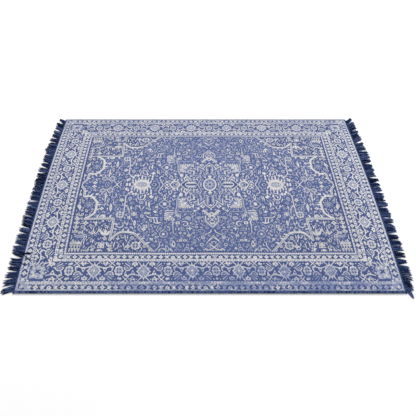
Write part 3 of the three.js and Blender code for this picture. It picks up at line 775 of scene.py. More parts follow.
def unit_vines(first):
    """The vines, leaves and flowers between a rosette at s = 0 and the next diamond at s = 107."""
    # Two crossed twigs, and over the rosette half a flower or a bud.
    band(IVORY, [(18, 92), (30, 81), (43, 70)], 3.8, straight=True)
    band(IVORY, [(17, 69), (30, 81), (42, 91)], 3.8, straight=True)
    if first:
        band(IVORY, [(0, 82.5), (6, 81), (10.5, 74)], 4.6)
        disk(PALE, (0, 87), 4, n=6)
    else:
        disk(IVORY, (7, 79.5), 6, 4, 0.2, n=12)
    disk(IVORY, (25, 64), 2.6, n=6)
    # The vine: a curl by the rosette, an arm to the diamond, and a tooth that hangs from it.
    curl = [(31, 46), (27, 55), (28.5, 64), (36, 68), (43, 64), (54, 60.5), (68, 60.5), (80, 63), (90, 67)]
    band(IVORY, curl, 4.8)
    leaf(IVORY, (31, 57), 60, 11, 5)
    lay(IVORY, [(50, 61), (72, 61), (68, 53), (60.8, 38), (53.5, 53)])
    disk(BORDER, (60.8, 52), 4.2, squash=0.85, n=7)
    # The tulip over the tooth, with dark notches.
    lay(IVORY, [(52, 92), (46, 78), (53, 75), (59, 67), (65, 75), (72, 78), (69, 92), (64.5, 84), (57, 84)])
    disk(BORDER, (60.5, 87.5), 4, n=7)
    leaf(BORDER, (60.5, 82), 270, 9, 4)
    disk(IVORY, (43, 80), 2.6, n=5)
    disk(IVORY, (77, 81), 3, n=6)
    # An arched flower and three blades under the vine.
    band(IVORY, [(22, 29), (27, 38), (37, 43), (47, 40), (54, 30)], 4.6)
    disk(IVORY, (24, 29.5), 3.8, n=7)
    disk(IVORY, (53, 30.5), 3.8, n=7)
    band(PALE, [(30, 28), (34, 35), (38, 36.5), (43, 35), (47, 28)], 3.4)
    disk(IVORY, (38, 29.5), 3, n=6)
    band(IVORY, [(47, 24), (37, 17), (27, 9)], 4.0)
    band(PALE, [(35, 26), (28, 21), (20, 20)], 3.6)
    band(PALE, [(50, 14), (43, 8), (36, 2)], 3.6)
    band(MID, [(56, 24), (48, 17), (40, 9)], 3.2)
    disk(IVORY, (1, 12.5), 5, n=8)
    disk(BORDER, (1, 12.5), 1.8, n=5)
    disk(IVORY, (15, 10), 3, n=6)
    # The crown at the outer edge, and strokes at the diamond's head and foot.
    lay(IVORY, [(56, 9), (57, 20), (63, 16.5), (69.5, 26), (76, 16.5), (81, 21), (82, 9), (76, 4), (62, 4)])
    disk(BORDER, (69.5, 12), 3.4, n=6)
    disk(IVORY, (59, 29), 3, n=6)
    disk(PALE, (80, 31), 4.0, n=7)
    band(IVORY, [(96, 19), (91, 10), (84, 3)], 3.8)
    band(IVORY, [(78, 92), (85, 86), (92, 78)], 4.0)
    band(PALE, [(90, 26), (84, 38), (76, 48)], 3.6)


def unit_diamond():
    """A diamond in pale yarn with a lobed ivory edge, (|x/w|^1.2 + |y/h|^1.2)^(1/1.2) = 1 + 0.07 cos(12a),
    rings of dark stipples, and a spike between two leaves above and below."""

    def diamond(a):
        """How far the edge of a diamond of half width and half height 1 lies from its middle at an angle."""
        return (np.abs(np.cos(a)) ** 1.2 + np.abs(np.sin(a)) ** 1.2) ** (-1 / 1.2)

    a = np.arange(48) * math.pi / 24
    r = diamond(a) * (1 + 0.07 * np.cos(12 * a))
    for tone, w, h, every in ((IVORY, 30, 33, 1), (PALE, 24, 26, 2), (IVORY, 11, 12, 3)):
        lay(tone, np.c_[w * r * np.cos(a), MIDLINE + h * r * np.sin(a)][::every])
    for reach, number, size in ((0.62, 12, 2.5), (0.3, 8, 2.2)):
        for k in range(number):
            angle = 2 * math.pi * (k + 0.5 * (number == 8)) / number
            x, y = reach * diamond(angle) * np.array([30 * math.cos(angle), 33 * math.sin(angle)])
            disk(FIELD if k % 3 else BORDER, (x, MIDLINE + y), size, squash=1.2, n=5)
    for way in (-1, 1):
        lay(IVORY, [(-4.5, MIDLINE + 26 * way), (0, MIDLINE + 42 * way), (4.5, MIDLINE + 26 * way)])
        for side in (-1, 1):
            leaf(IVORY, (9 * side, MIDLINE + 24 * way), 90 * way - 25 * side * way, 12, 5)


VINES = (
    # side, unit of the rosette, way, turned over, reach
    ("long", 0, 1, False, 1), ("long", 0, -1, False, 1), ("long", 2, -1, False, 1), ("long", 2, 1, True, 1),
    ("long", 4, -1, True, 1), ("long", 4, 1, False, 1), ("long", 6, -1, False, 1), ("long", 6, 1, True, 1.12),
    ("short", 1, -1, True, 1), ("short", 1, 1, False, 1), ("short", 3, -1, False, 1), ("short", 3, 1, True, 1),
)
for side, start, way, over, reach in VINES:
    set_side(side, start, way, over, reach)
    unit_vines(start == 0)
for side, start in (("long", 0), ("long", 2), ("long", 4), ("long", 6), ("short", 1), ("short", 3)):
    set_side(side, start)
    rosette(np.array([0, MIDLINE]), 19, BORDER, 1.2)
for side, start, over in (("long", 1, False), ("long", 3, True), ("long", 5, False), ("short", 0, True),
                          ("short", 2, False)):
    set_side(side, start, over=over)
    unit_diamond()
place = None

# The corner flower: a ragged pale square with ivory petals round a dark saltire, on a dark ground that shows
# along its outer sides. Slanted strokes fill the room between it and the nearest vines.
CORNER = np.array([775.0, 514.0])


def corner_leaves(tone, width, leaves):
    """Leaves of one tone and width about the corner flower. Each is given as x, y, turn and length."""
    for x, y, turn, length in leaves:
        leaf(tone, CORNER + (x, y), turn, length, width)


lay(BORDER, CORNER + [(-38, -34), (30, -42), (37, 0), (37, 37), (-30, 39), (-36, 20)])
corner_leaves(IVORY, 7, [
    (-28, -44, 50, 20), (-14, -46, 50, 24), (0, -47, 50, 26), (14, -45, 50, 26), (25, -40, 50, 20),
    (-42, -32, 50, 16), (-40, 0, 50, 16)])
lay(PALE, CORNER + [
    (-26, -22), (-20, -33), (-10, -26), (2, -35), (10, -27), (27, -33), (26, -18), (33, -6), (28, 8),
    (33, 20), (29, 33), (10, 30), (-8, 35), (-28, 33), (-27, 22), (-36, 12), (-26, 2), (-34, -8)])
corner_leaves(IVORY, 8, [
    (-24, -22, 30, 20), (22, -24, 110, 18), (24, 24, 200, 20), (-22, 28, 300, 18), (0, -30, 80, 14),
    (4, 30, 260, 14), (-28, 6, 10, 14), (28, 2, 170, 14), (-10, -14, 120, 12), (12, 18, 300, 12)])
corner_leaves(FIELD, 4.5, [
    (-30, -4, 60, 10), (-12, -26, 140, 10), (12, -27, 60, 10), (27, -12, 100, 10), (28, 12, 170, 10),
    (-2, 30, 200, 10), (-27, 22, 240, 10)])
for turn, length in ((40, 19), (140, 23), (220, 21), (320, 18)):
    leaf(BORDER, turned([(-3, 0)], CORNER, turn)[0], turn, length, 9)
disk(IVORY, CORNER + (-9, 0), 3, n=5)
disk(IVORY, CORNER + (3, 10), 3, n=5)

GRID = 4  # steps in a millimetre that the points are drawn to
TOLERANCE = 0.35  # how far off a straight line a point may lie and be left out


def triangulate(points, edges):
    """Delaunay triangles of the quarter that keep the given edges, with the tone at the middle of each."""
    made = delaunay_2d_cdt([Vector(p) for p in points], [tuple(e) for e in edges], [], 0, 1e-3, False)
    p, tri = np.array([tuple(v) for v in made[0]]), np.array(made[2])
    p[np.abs(p) < 0.004] = 0.0
    mid = p[tri].mean(1)
    tri = tri[(mid > 0).all(1) & (mid < (HALF_LENGTH, HALF_WIDTH)).all(1)]
    return p, tri, tones_at(p[tri].mean(1))


def thinned(p, lines):
    """The lines without some of the points that lie within TOLERANCE of the straight way past them."""
    ways = np.vstack([lines, lines[:, ::-1]])
    ways = ways[np.argsort(ways[:, 0], kind="stable")]
    first = np.searchsorted(ways[:, 0], np.arange(len(p)))
    a, b = (ways[np.minimum(first + k, len(ways) - 1), 1] for k in (0, 1))
    along = p[b] - p[a]
    away = p - p[a]
    off = np.abs(along[:, 0] * away[:, 1] - along[:, 1] * away[:, 0]) / (np.hypot(*along.T) + 1e-9)
    go = (np.bincount(lines.ravel(), minlength=len(p)) == 2) & (off < TOLERANCE) & (a != b)
    go &= (p > 0.3).all(1) & (p < (HALF_LENGTH - 0.3, HALF_WIDTH - 0.3)).all(1)
    go &= ~(go[a] & (a > np.arange(len(p)))) & ~(go[b] & (b > np.arange(len(p))))
    return np.vstack([lines[~go[lines].any(1)], np.c_[a, b][go]])


def edge_lines(p, tri, tone):
    """The sides of triangles where two tones meet or the quarter ends, their points drawn to the grid."""
    sides = np.sort(np.vstack([tri[:, [0, 1]], tri[:, [1, 2]], tri[:, [2, 0]]]), 1)
    order = np.lexsort((sides[:, 1], sides[:, 0]))
    sides, tones = sides[order], np.tile(tone, 3)[order]
    twin = (sides[1:] == sides[:-1]).all(1)
    lone = ~(np.append(twin, False) | np.append(False, twin))
    kept = np.vstack([sides[:-1][twin & (tones[1:] != tones[:-1])], sides[lone]])
    grid, merged = np.unique(np.round(p * GRID), axis=0, return_inverse=True)
    kept = np.unique(np.sort(merged.ravel()[kept], 1), axis=0)
    kept = kept[kept[:, 0] != kept[:, 1]]
    for _ in range(3):
        kept = thinned(grid / GRID, kept)
    used, index = np.unique(kept, return_inverse=True)
    return grid[used] / GRID, index.reshape(kept.shape)


# The outlines are triangulated twice, the second time without the parts that a later shape covers.
t = np.linspace(0, 1, 50, endpoint=False)[:, None]
rim = np.vstack([t * (HALF_LENGTH, 0), (HALF_LENGTH, 0) + t * (0, HALF_WIDTH),
                 (HALF_LENGTH, HALF_WIDTH) - t * (HALF_LENGTH, 0), (0, HALF_WIDTH) - t * (0, HALF_WIDTH)])
outlines = [outline for tone, outline in shapes] + [rim]
ring_edges, start = [], 0
for outline in outlines:
    corners = np.arange(len(outline))
    ring_edges.append(start + np.c_[corners, np.roll(corners, -1)])
    start += len(outline)
p, tri, tone = triangulate(np.vstack(outlines), np.vstack(ring_edges))
p, tri, tone = triangulate(*edge_lines(p, tri, tone))

# The four quarters, mirrored, with the points on the axes shared.
copies, faces, tones = [], [], []
for k, (sx, sy) in enumerate(((1, 1), (-1, 1), (-1, -1), (1, -1))):
    copies.append(p * (sx, sy))
    faces.append((tri if sx * sy > 0 else tri[:, ::-1]) + k * len(p))
    tones.append(tone)
flat, merged = np.unique(np.round(np.vstack(copies), 3) + 0.0, axis=0, return_inverse=True)
faces, tones = merged.ravel()[np.vstack(faces)], np.concatenate(tones)

PANEL_HALF_LENGTH, PANEL_HALF_WIDTH, PANEL_THICKNESS, EDGE_ROUND, END_BOW = 841.7, 590.7, 9.0, 1.2, 12.0
LOOSENESS = 0.172  # k of the weave


def woven(p):
    """Where a point of the drawing comes to lie on the rug, which a loom never weaves quite evenly. The
    medallion is spread by up to 15 mm across, the rows are looser near one side, v = V(1 + k)/(1 + kV), the
    middle has drifted along the rug, the lines waver by about 1 mm, and both ends bow out by b(1 - w^2), w
    from -1 to 1 across the rug."""
    along, across = p[:, 0], p[:, 1]
    medallion = np.clip((430 - np.abs(along)) / 130, 0, 1)
    medallion *= np.sin(math.pi * np.clip(np.abs(across) / 290, 0, 1))
    v = (across + 15 * np.sign(across) * medallion) / (2 * HALF_WIDTH) + 0.5
    v = v * (1 + LOOSENESS) / (1 + LOOSENESS * v)
    inner = 1 - (along / HALF_LENGTH) ** 2
    x = along + (14 + 60 * (v - 0.64) ** 2) * inner
    x -= (6 + 6 * np.clip((0.2 - v) / 0.12, 0, 1)) * np.sin(math.pi * np.clip(along / HALF_LENGTH, 0, 1))
    x += 1.3 * np.sin(across / 61) * inner
    y = (v - 0.5) * 2 * HALF_WIDTH + 1.2 * np.sin(along / 83 + 1) * (1 - (across / HALF_WIDTH) ** 2)
    w = y / HALF_WIDTH
    end = PANEL_HALF_LENGTH - EDGE_ROUND + END_BOW * (1 - w**2)
    return np.c_[x / HALF_LENGTH * end, w * (PANEL_HALF_WIDTH - EDGE_ROUND)]


def mesh_piece(name, verts, faces, material, smooth=True):
    """A mesh object from points in millimetres and faces of one or several sizes."""
    mesh = bpy.data.meshes.new(name)
    mesh.from_pydata((np.asarray(verts, float) * 0.001).tolist(), [], faces)
    mesh.polygons.foreach_set("use_smooth", np.full(len(mesh.polygons), smooth))
    mesh.materials.append(material)
    mesh.update()
    obj = bpy.data.objects.new(name, mesh)
    bpy.context.collection.objects.link(obj)
    return obj


# The panel's face is the drawing, its sides are rounded over, and its back is closed.
way = np.sign(flat) * (np.abs(flat) > np.array([HALF_LENGTH, HALF_WIDTH]) - 0.01)
rim = np.flatnonzero(way.any(1))
way = way[rim]
u, v = (flat[rim] / (HALF_LENGTH, HALF_WIDTH)).T
order = np.argsort((np.arctan2(v, u) - np.arctan2(-1, -1)) % (2 * math.pi))
rim, way = rim[order], way[order]
face = woven(flat)
verts, rows = [np.c_[face, np.full(len(face), PANEL_THICKNESS)]], [rim]
count, n = len(face), len(rim)
for angle, foot in ((45, 0), (90, 0), (90, 1), (45, 1), (0, 1)):
    a = math.radians(angle)
    z = EDGE_ROUND * (1 - math.cos(a))
    level = z if foot else PANEL_THICKNESS - z
    verts.append(np.c_[face[rim] + way * EDGE_ROUND * math.sin(a), np.full(n, level)])
    rows.append(count + np.arange(n))
    count += n
walls = np.vstack([np.c_[a, b, np.roll(b, -1), np.roll(a, -1)] for a, b in zip(rows[1:], rows[:-1])])
rim_edges = [(i, (i + 1) % n) for i in range(n)]
made = delaunay_2d_cdt([Vector(q) for q in face[rim]], rim_edges, [], 1, 1e-6, False)
back = rows[-1][np.array(made[2])][:, ::-1]
all_faces = [tuple(f) for group in (faces, walls, back) for f in group.tolist()]
all_tones = np.concatenate([tones, np.full(len(walls), BORDER), np.full(len(back), MID)])


def linear(hex_colour):
    """A display colour, #rrggbb, as linear light."""
    c = np.array([int(hex_colour[i : i + 2], 16) for i in (1, 3, 5)]) / 255
    return tuple(np.where(c <= 0.04045, c / 12.92, ((c + 0.055) / 1.055) ** 2.4)) + (1.0,)


def add(material, kind, links=(), **settings):
    """Adds a shader node, with settings by name and links as (input, value or another node's output)."""
    node = material.node_tree.nodes.new(kind)
    for key, value in settings.items():
        setattr(node, key, value)
    for key, value in links:
        socket = node.inputs[key]
        if isinstance(value, bpy.types.NodeSocket):
            material.node_tree.links.new(value, socket)
        else:
            socket.default_value = value
    return node


def ramp(material, factor, stops, interpolation="LINEAR"):
    """A colour ramp with stops of (place, linear colour)."""
    node = add(material, "ShaderNodeValToRGB", [("Fac", factor)])
    node.color_ramp.interpolation = interpolation
    while len(node.color_ramp.elements) < len(stops):
        node.color_ramp.elements.new(0.5)
    for element, (place, colour) in zip(node.color_ramp.elements, stops):
        element.position, element.color = place, colour
    return node.outputs["Color"]


def new_material(name):
    """A material with no nodes yet."""
    material = bpy.data.materials.new(name)
    material.use_nodes = True
    material.node_tree.nodes.clear()
    return material


def cloth_surface(material, colour, height, strength, distance, roughness, specular):
    """Ends a material in a surface of the colour, with bumps as deep as the distance in metres."""
    links = [("Height", height), ("Strength", strength), ("Distance", distance)]
    bump = add(material, "ShaderNodeBump", links).outputs["Normal"]
    links = [("Base Color", colour), ("Roughness", roughness), ("Specular IOR Level", specular),
             ("Normal", bump)]
    shader = add(material, "ShaderNodeBsdfPrincipled", links)
    add(material, "ShaderNodeOutputMaterial", [("Surface", shader.outputs[0])])


# Short worn wool pile, dyed in six shades. Each has a fresh colour and two worn ones, for the borders and for
# the field. The wear is strongest along the near border and runs in streaks along the rows of knots, which
# show as a fine ribbing, 6 mm from rib to rib, and the knots differ a little in shade.
pile = new_material("worn_wool_pile")
coords = add(pile, "ShaderNodeTexCoord").outputs["Object"]
tone_value = add(pile, "ShaderNodeAttribute", attribute_name="tone").outputs["Fac"]
FRESH = ("#384670", "#43507b", "#4c5985", "#7780a0", "#a0a4b0", "#c8c6c4")
WORN_BORDER = ("#3f4c76", "#495680", "#525f8a", "#5c688f", "#6a759a", "#7d86a3")
WORN_FIELD = ("#3f4c74", "#4a567f", "#536087", "#687190", "#808598", "#9a9a9f")
fresh, worn_border, worn_field = (
    ramp(pile, tone_value, [(k / TONES, linear(c)) for k, c in enumerate(colours)], "CONSTANT")
    for colours in (FRESH, WORN_BORDER, WORN_FIELD)
)


def fade(value, start, end, low=0.0, high=1.0):
    """Runs from low to high as the value runs from start to end, and stays level beyond them."""
    links = [("Value", value), ("From Min", start), ("From Max", end), ("To Min", low), ("To Max", high)]
    return add(pile, "ShaderNodeMapRange", links).outputs["Result"]


def calc(kind, a, b=0.0):
    """A math node's result on two values or outputs."""
    return add(pile, "ShaderNodeMath", [(0, a), (1, b)], operation=kind).outputs[0]


def noise(scales, detail):
    """Noise whose grains are 1/scale metres long along each axis."""
    stretched = add(pile, "ShaderNodeMapping", [("Vector", coords), ("Scale", scales)]).outputs["Vector"]
    links = [("Vector", stretched), ("Scale", 1.0), ("Detail", detail)]
    return add(pile, "ShaderNodeTexNoise", links).outputs["Fac"]


place_x, place_y = add(pile, "ShaderNodeSeparateXYZ", [("Vector", coords)]).outputs[:2]
from_middle = calc("ABSOLUTE", calc("SUBTRACT", place_y, 0.025))
in_field = calc("MULTIPLY", fade(from_middle, 0.412, 0.402), fade(calc("ABSOLUTE", place_x), 0.66, 0.65))
beside = calc("ABSOLUTE", calc("SUBTRACT", place_x, 0.2))
near = calc("MULTIPLY", fade(place_y, -0.42, -0.55), fade(beside, 0.75, 0.3, 0.25))
field = calc("MULTIPLY", in_field, fade(from_middle, 0.19, 0.32, 0.12, 0.32))
amount = calc("ADD", calc("MULTIPLY", near, 0.8), calc("MULTIPLY", fade(place_y, 0.44, 0.58), 0.25))
amount = calc("ADD", calc("ADD", amount, field), 0.08)
long_streaks = fade(noise((16.0, 240.0, 1.0), 3.0), 0.36, 0.64, -0.5, 0.5)
mottling = fade(noise((75.0, 110.0, 1.0), 3.0), 0.36, 0.64, -0.6, 0.6)
patches = fade(noise((13.0, 22.0, 1.0), 4.0), 0.36, 0.64, -0.6, 0.6)
uneven = calc("ADD", calc("ADD", long_streaks, mottling), calc("ADD", patches, 1.0))
wear = calc("MINIMUM", calc("MAXIMUM", calc("MULTIPLY", amount, uneven), 0.0), 1.0)
worn = add(pile, "ShaderNodeMix", [(0, in_field), (6, worn_border), (7, worn_field)], data_type="RGBA")
blend = add(pile, "ShaderNodeMix", [(0, wear), (6, fresh), (7, worn.outputs[2])], data_type="RGBA")
knots = fade(noise((210.0, 330.0, 1.0), 1.0), 0.3, 0.7, 0.88, 1.12)
shade = calc("MULTIPLY", knots, fade(noise((7.0, 60.0, 1.0), 3.0), 0.3, 0.7, 0.93, 1.07))
# Painted shade darkens the pile toward the near edge, by the cord. The pile is also made lighter toward the
# right end and darker toward the far edge.
edges = calc("MULTIPLY", fade(place_y, -0.574, -0.592, 1.0, 0.95), fade(place_x, 0.74, 0.8, 1.0, 1.08))
shade = calc("MULTIPLY", calc("MULTIPLY", shade, edges), fade(place_y, 0.43, 0.50, 1.0, 0.95))
colour = add(pile, "ShaderNodeHueSaturation", [("Color", blend.outputs[2]), ("Value", shade)]).outputs[0]
waves = [("Vector", coords), ("Scale", 52.0), ("Distortion", 0.6), ("Detail", 1.0)]
ribs = add(pile, "ShaderNodeTexWave", waves, bands_direction="Y").outputs["Fac"]
relief = calc("ADD", calc("MULTIPLY", ribs, 0.5), noise((330.0, 330.0, 1.0), 2.0))
cloth_surface(pile, colour, relief, strength=0.6, distance=0.0012, roughness=0.95, specular=0.1)

panel = mesh_piece("woven_panel_pile", np.vstack(verts), all_faces, pile, False)
attribute = panel.data.attributes.new("tone", "FLOAT", "FACE")
attribute.data.foreach_set("value", (all_tones + 0.5) / TONES)
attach(panel, "root")
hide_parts("woven_panel")

# Dark blue wool yarn of the fringe and the overcast edges: two plies. A fine noise bumps the fibres and also
# paints light and shade on their colour.
yarn = new_material("navy_wool_yarn")
coords = add(yarn, "ShaderNodeTexCoord").outputs["Object"]
fibres = add(yarn, "ShaderNodeTexNoise", [("Vector", coords), ("Scale", 170.0), ("Detail", 4.0)])
fibres = fibres.outputs["Fac"]
dye_and_painted_light = add(yarn, "ShaderNodeAttribute", attribute_name="dye_and_painted_light").outputs["Fac"]
mixed = add(yarn, "ShaderNodeMath", [(0, fibres), (1, dye_and_painted_light)], operation="ADD").outputs[0]
shade = add(yarn, "ShaderNodeMapRange", [("Value", mixed), ("From Min", 0.35), ("From Max", 1.45)])
SHADES = ((0.22, "#02061a"), (0.42, "#0e1a3a"), (0.62, "#203058"), (0.9, "#52648e"))
dyed = ramp(yarn, shade.outputs["Result"], [(stop, linear(colour)) for stop, colour in SHADES])
cloth_surface(yarn, dyed, fibres, strength=0.5, distance=0.001, roughness=0.85, specular=0.06)


def scatter(seed):
    """A fixed uneven value from -1 to 1."""
    wave = np.sin(seed * 12.9898) * 43758.5453
    return 2 * (wave - np.floor(wave)) - 1


def squared(wave, power):
    """sign(w) |w|^power, which makes an oval of sines and cosines squarer."""
    return np.sign(wave) * np.abs(wave) ** power


def ring_quads(index):
    """The quads between rings of points that follow one another, from the points' numbers, a ring a row."""
    nxt = np.roll(index, -1, -1)
    quads = [index[..., :-1, :], nxt[..., :-1, :], nxt[..., 1:, :], index[..., 1:, :]]
    return np.stack(quads, -1).reshape(-1, 4)


# Side cords: a core along each long edge, overcast with yarn in wraps 5 mm apart that lean a little.
WRAP, SIDES_ROUND, CORD_DYE = 5.0, 14, 0.56
CORD_HALF_LENGTH, CORD_MIDDLE, CORD_HALF_WIDTH, CORD_HALF_HEIGHT = 841.0, 595.45, 4.45, 4.8
for name, side in (("side_cord_near", -1), ("side_cord_far", 1)):
    x = np.arange(-CORD_HALF_LENGTH, CORD_HALF_LENGTH + 0.01, WRAP / 4)
    a = np.arange(SIDES_ROUND) * 2 * math.pi / SIDES_ROUND
    gx, ga = np.meshgrid(x, a, indexing="ij")
    swell = 1 - 0.1 * np.cos(math.pi * (gx / WRAP + 0.25 * np.sin(ga))) ** 2
    gy = side * CORD_MIDDLE + CORD_HALF_WIDTH * squared(np.cos(ga), 0.8) * swell
    gz = CORD_HALF_HEIGHT + CORD_HALF_HEIGHT * squared(np.sin(ga), 0.8) * swell
    index = np.arange(gx.size).reshape(gx.shape)
    cord_faces = ring_quads(index).tolist() + [index[0, ::-1].tolist(), index[-1].tolist()]
    cord = mesh_piece(name + "_overcast", np.c_[gx.ravel(), gy.ravel(), gz.ravel()], cord_faces, yarn)
    dye_and_painted_light = cord.data.attributes.new("dye_and_painted_light", "FLOAT", "FACE")
    wraps = np.convolve(scatter(7 + np.arange(len(x) + 1)), np.ones(3) / 2, "valid")
    # Painted light and shade: the cord's colour is lighter on its top and darker underneath, by 0.16 sin a
    # round it, over a shade that differs at random from wrap to wrap.
    lit = CORD_DYE + 0.35 * wraps[:, None] + 0.16 * np.sin(a + a[1] / 2)
    dye_and_painted_light.data.foreach_set("value", np.r_[lit.ravel(), CORD_DYE, CORD_DYE])
    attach(cord, "root")
    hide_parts(name)


def end_out(y):
    """How far out the panel's end lies at y across the rug: half length + bow (1 - (y/w)^2)."""
    return PANEL_HALF_LENGTH + END_BOW * (1 - (y / PANEL_HALF_WIDTH) ** 2)


# The fringe: 34 tufts of 4 locks at each end, each lock of five loosely twisted yarns, laid out on the floor.
# The tufts lean as the rug was thrown down, by the distances in these tables, along the end from near to far.
# The yarns of a lock wander and cross a little, and thin out to a frayed tip.
LEFT_LEAN = (
    (0, -32), (0.03, -12), (0.08, 0), (0.14, -4), (0.16, 14), (0.2, 8), (0.3, 20), (0.4, 14), (0.5, 16),
    (0.57, 8), (0.7, 26), (0.8, 12), (0.88, 28), (0.95, 32), (1, 40),
)
RIGHT_LEAN = (
    (0, -40), (0.03, -29), (0.06, -16), (0.12, -5), (0.2, 4), (0.38, -5), (0.5, 0), (0.58, 2), (0.66, 14),
    (0.76, 2), (0.8, 24), (0.9, 28), (0.96, 30), (1, 42),
)
TUFTS, LOCKS, STEPS = 34, 4, 11
YARN_LENGTH = 54
YARN_SIDES, PLY, TWIST = 6, 0.16, 2 * math.pi / 7.0  # two plies that go once round each other in 14 mm
YARNS = ((-2.7, 1.6), (0.0, 1.6), (2.7, 1.6), (-1.4, 4.3), (1.5, 4.4))  # across the lock and up, at the root
# Four yarns of the left fringe lie thrown back over the border: thickness, then their course.
STRAYS = (
    (2.6, [(-872, -388), (-862, -396), (-848, -398), (-832, -396), (-817, -397)]),
    (2.0, [(-866, -384), (-856, -391), (-842, -393), (-826, -392), (-822, -393)]),
    (1.5, [(-858, -396), (-848, -403), (-834, -415), (-818, -428), (-810, -434)]),
    (1.6, [(-864, -438), (-854, -443), (-844, -450), (-834, -457), (-828, -460)]),
)


def tube(path, radius, phase=0.0):
    """Yarns round paths, k by n by 3, with radii k by n: r(a) = r (1 + PLY cos(2a - TWIST s)) at s along the
    path. Returns points and faces."""
    k, n = radius.shape
    d = np.gradient(path, axis=1)
    d /= np.linalg.norm(d, axis=2)[..., None]
    side = np.stack([-d[..., 1], d[..., 0], 0 * d[..., 0]], -1)
    side /= np.linalg.norm(side, axis=2)[..., None]
    up = np.cross(d, side)
    s = np.cumsum(np.linalg.norm(np.diff(path, axis=1, prepend=path[:, :1]), axis=2), 1)
    a = np.arange(YARN_SIDES) * 2 * math.pi / YARN_SIDES
    r = radius[..., None] * (1 + PLY * np.cos(2 * a - TWIST * s[..., None] + phase))
    out = np.cos(a)[:, None] * side[:, :, None] + np.sin(a)[:, None] * up[:, :, None]
    points = path[:, :, None] + r[..., None] * out
    index = np.arange(k * n * YARN_SIDES).reshape(k, n, YARN_SIDES)
    yarn_faces = ring_quads(index).tolist() + index[:, 0, ::-1].tolist() + index[:, -1].tolist()
    return points.reshape(-1, 3), yarn_faces


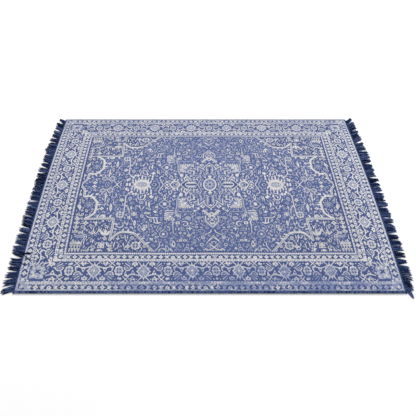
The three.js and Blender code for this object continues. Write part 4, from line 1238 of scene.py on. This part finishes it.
for name, end, seed, leans in (("fringe_left", -1, 1, LEFT_LEAN), ("fringe_right", 1, 401, RIGHT_LEAN)):
    i = np.arange(TUFTS * LOCKS)
    tuft, in_tuft = i // LOCKS, i % LOCKS - 1.5
    pitch = 2 * PANEL_HALF_WIDTH / len(i)
    root_y = -PANEL_HALF_WIDTH + pitch * (i + 0.5)
    tuft_y = -PANEL_HALF_WIDTH + LOCKS * pitch * (tuft + 0.5)
    along_end = (tuft + 0.5) / TUFTS
    lean = np.interp(along_end, *np.array(leans).T) + 6 * scatter(seed + 3 * tuft)
    bend = 2 * scatter(seed + 7 * tuft + 50)
    corner = np.clip(1 - tuft / 3, 0, 1) * (end > 0)
    longer = 2.5 if end < 0 else np.interp(along_end, (0.2, 0.6, 0.9), (-3, 0, 7))
    length = YARN_LENGTH - 3 * (1 + scatter(seed + 5 * tuft + 20)) - 9 * corner + longer
    reach = np.sqrt(length**2 - lean**2) - (1 + scatter(seed + 11 * i + 90))
    spread = 6.0 + 2.4 * scatter(seed + 23 * tuft + 61) + 9 * corner
    tip_y = tuft_y + lean + spread * in_tuft + 2.2 * scatter(seed + 29 * i + 7)
    root_x = end_out(root_y) + 8.3
    t = np.linspace(0, 1, STEPS)
    points, faces_all, dyes, count = [], [], [], 0
    for j, (dy, dz) in enumerate(YARNS):
        grow = 0.96 + 0.15 * scatter(seed + 13 * i + 31 * j)[:, None]
        wander = scatter(seed + 17 * i + 77 * j)[:, None]
        curl = scatter(seed + 19 * i + 53 * j)[:, None]
        lx = root_x[:, None] - 4 + t * grow * (reach + 4)[:, None]
        ly = root_y[:, None] + (tip_y - root_y)[:, None] * t**1.25 + 4 * bend[:, None] * t * (1 - t)
        ly = ly + dy * (1 - 0.3 * t) + 5.5 * wander * t**2 + 1.6 * curl * np.sin(8 * t + 5 * wander) * t
        ly = ly + 5 * curl * np.maximum(t - 0.7, 0) / 0.3 * t
        r = 1.65 * (1 - 0.1 * t) * np.ones_like(lx)
        r[:, -3:] *= (1.0, 0.8, 0.3)
        lz = dz * (1 - 0.4 * t * (j > 2)) + (0.8 + 0.8 * curl) * np.sin(math.pi * t) * (j > 2)
        path = np.stack([end * lx, ly, np.maximum(r * 1.2 + 0.05, lz)], -1)
        if end < 0:
            path = path[:, ::-1]
            r = r[:, ::-1]
        q, f = tube(path, r, 2.0 * j)
        points.append(q)
        faces_all += [[corner + count for corner in corners] for corners in f]
        shade = 0.48 + 0.36 * scatter(seed + 37 * i + 11 * j) + 0.14 * scatter(seed + 41 * tuft)
        dyes.append(np.concatenate([np.repeat(shade, YARN_SIDES * (STEPS - 1)), shade, shade]))
        count += len(q)
    for r, course in STRAYS if end < 0 else ():
        xy = smooth(course)
        level = np.where(xy[:, 0] < -851, 5.0, PANEL_THICKNESS + r)
        level = np.convolve(np.r_[level[0], level, level[-1]], np.ones(3) / 3, "valid")
        level = np.maximum(level, PANEL_THICKNESS * (xy[:, 0] > -853) + r)
        q, f = tube(np.c_[xy, level][None], np.full((1, len(xy)), r))
        points.append(q)
        faces_all += [[corner + count for corner in corners] for corners in f]
        dyes.append(np.full(len(f), 0.25))
        count += len(q)
    fringe = mesh_piece(name + "_yarns", np.vstack(points), faces_all, yarn)
    fringe.data.attributes.new("dye_and_painted_light", "FLOAT", "FACE").data.foreach_set("value", np.concatenate(dyes))
    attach(fringe, "root")
    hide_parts(name)

    # The heading: a narrow woven tape that holds the fringe's roots, overcast in yarn every 4 mm.
    y = np.arange(-600, 600.01, 1.0)
    half_width, half_height = 3.9, 3.65
    a = np.arange(12) * 2 * math.pi / 12
    gy, ga = np.meshgrid(y, a, indexing="ij")
    swell = 1 - 0.08 * np.cos(math.pi * (gy / 4.0 + 0.3 * np.sin(ga))) ** 2
    gx = end * (end_out(gy) + 4.3 + half_width * squared(np.cos(ga), 0.7) * swell)
    gz = 3.7 + half_height * squared(np.sin(ga), 0.7) * swell
    index = np.arange(gx.size).reshape(gx.shape)
    quads = ring_quads(index)[:, ::-end]
    tape_faces = quads.tolist() + [index[0, ::-end].tolist(), index[-1, ::end].tolist()]
    tape = mesh_piece(name + "_heading", np.c_[gx.ravel(), gy.ravel(), gz.ravel()], tape_faces, yarn)
    dye_and_painted_light = tape.data.attributes.new("dye_and_painted_light", "FLOAT", "FACE")
    dye_and_painted_light.data.foreach_set("value", np.full(len(tape.data.polygons), CORD_DYE))
    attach(tape, "root")

# The floor, a plain white sweep, and a soft studio: an even white surround and a broad lamp behind the rug.
paper = new_material("white_studio_floor")
coords = add(paper, "ShaderNodeTexCoord").outputs["Object"]
grain = add(paper, "ShaderNodeTexNoise", [("Vector", coords), ("Scale", 3.0)]).outputs["Fac"]
white = ramp(paper, grain, [(0.0, (0.87, 0.87, 0.87, 1)), (1.0, (0.89, 0.89, 0.89, 1))])
links = [("Base Color", white), ("Roughness", 0.8), ("Specular IOR Level", 0.0)]
shader = add(paper, "ShaderNodeBsdfPrincipled", links)
add(paper, "ShaderNodeOutputMaterial", [("Surface", shader.outputs[0])])
ground = [(-6000, -4000, -0.2), (6000, -4000, -0.2), (6000, 8000, -0.2), (-6000, 8000, -0.2)]
floor = mesh_piece("floor", ground, [(0, 1, 2, 3)], paper, False)

world = bpy.data.worlds.new("studio")
bpy.context.scene.world = world
world.use_nodes = True
world.node_tree.nodes["Background"].inputs["Color"].default_value = (1, 1, 1, 1)
world.node_tree.nodes["Background"].inputs["Strength"].default_value = 0.8

lamp_data = bpy.data.lights.new("broad_lamp", "AREA")
lamp_data.shape, lamp_data.size, lamp_data.size_y, lamp_data.energy = "RECTANGLE", 3.0, 2.0, 116.0
lamp = bpy.data.objects.new("broad_lamp", lamp_data)
lamp.location = (0.3, 2.3, 3.2)
lamp.rotation_euler = (Vector((0, 0, 0)) - lamp.location).to_track_quat("-Z", "Y").to_euler()
bpy.context.collection.objects.link(lamp)
bpy.context.scene.view_settings.view_transform = "Standard"

camera_data = bpy.data.cameras.new("camera")
camera_data.sensor_width, camera_data.lens = 36.0, 38.18
camera_data.shift_x, camera_data.shift_y = 12.98 / 416, 0.42 / 416
camera = bpy.data.objects.new("camera", camera_data)
camera.location = (-0.0635, -1.5705, 1.6752)
camera.rotation_euler = (math.radians(90 - 48.95), 0, 0)
bpy.context.collection.objects.link(camera)
bpy.context.scene.camera = camera
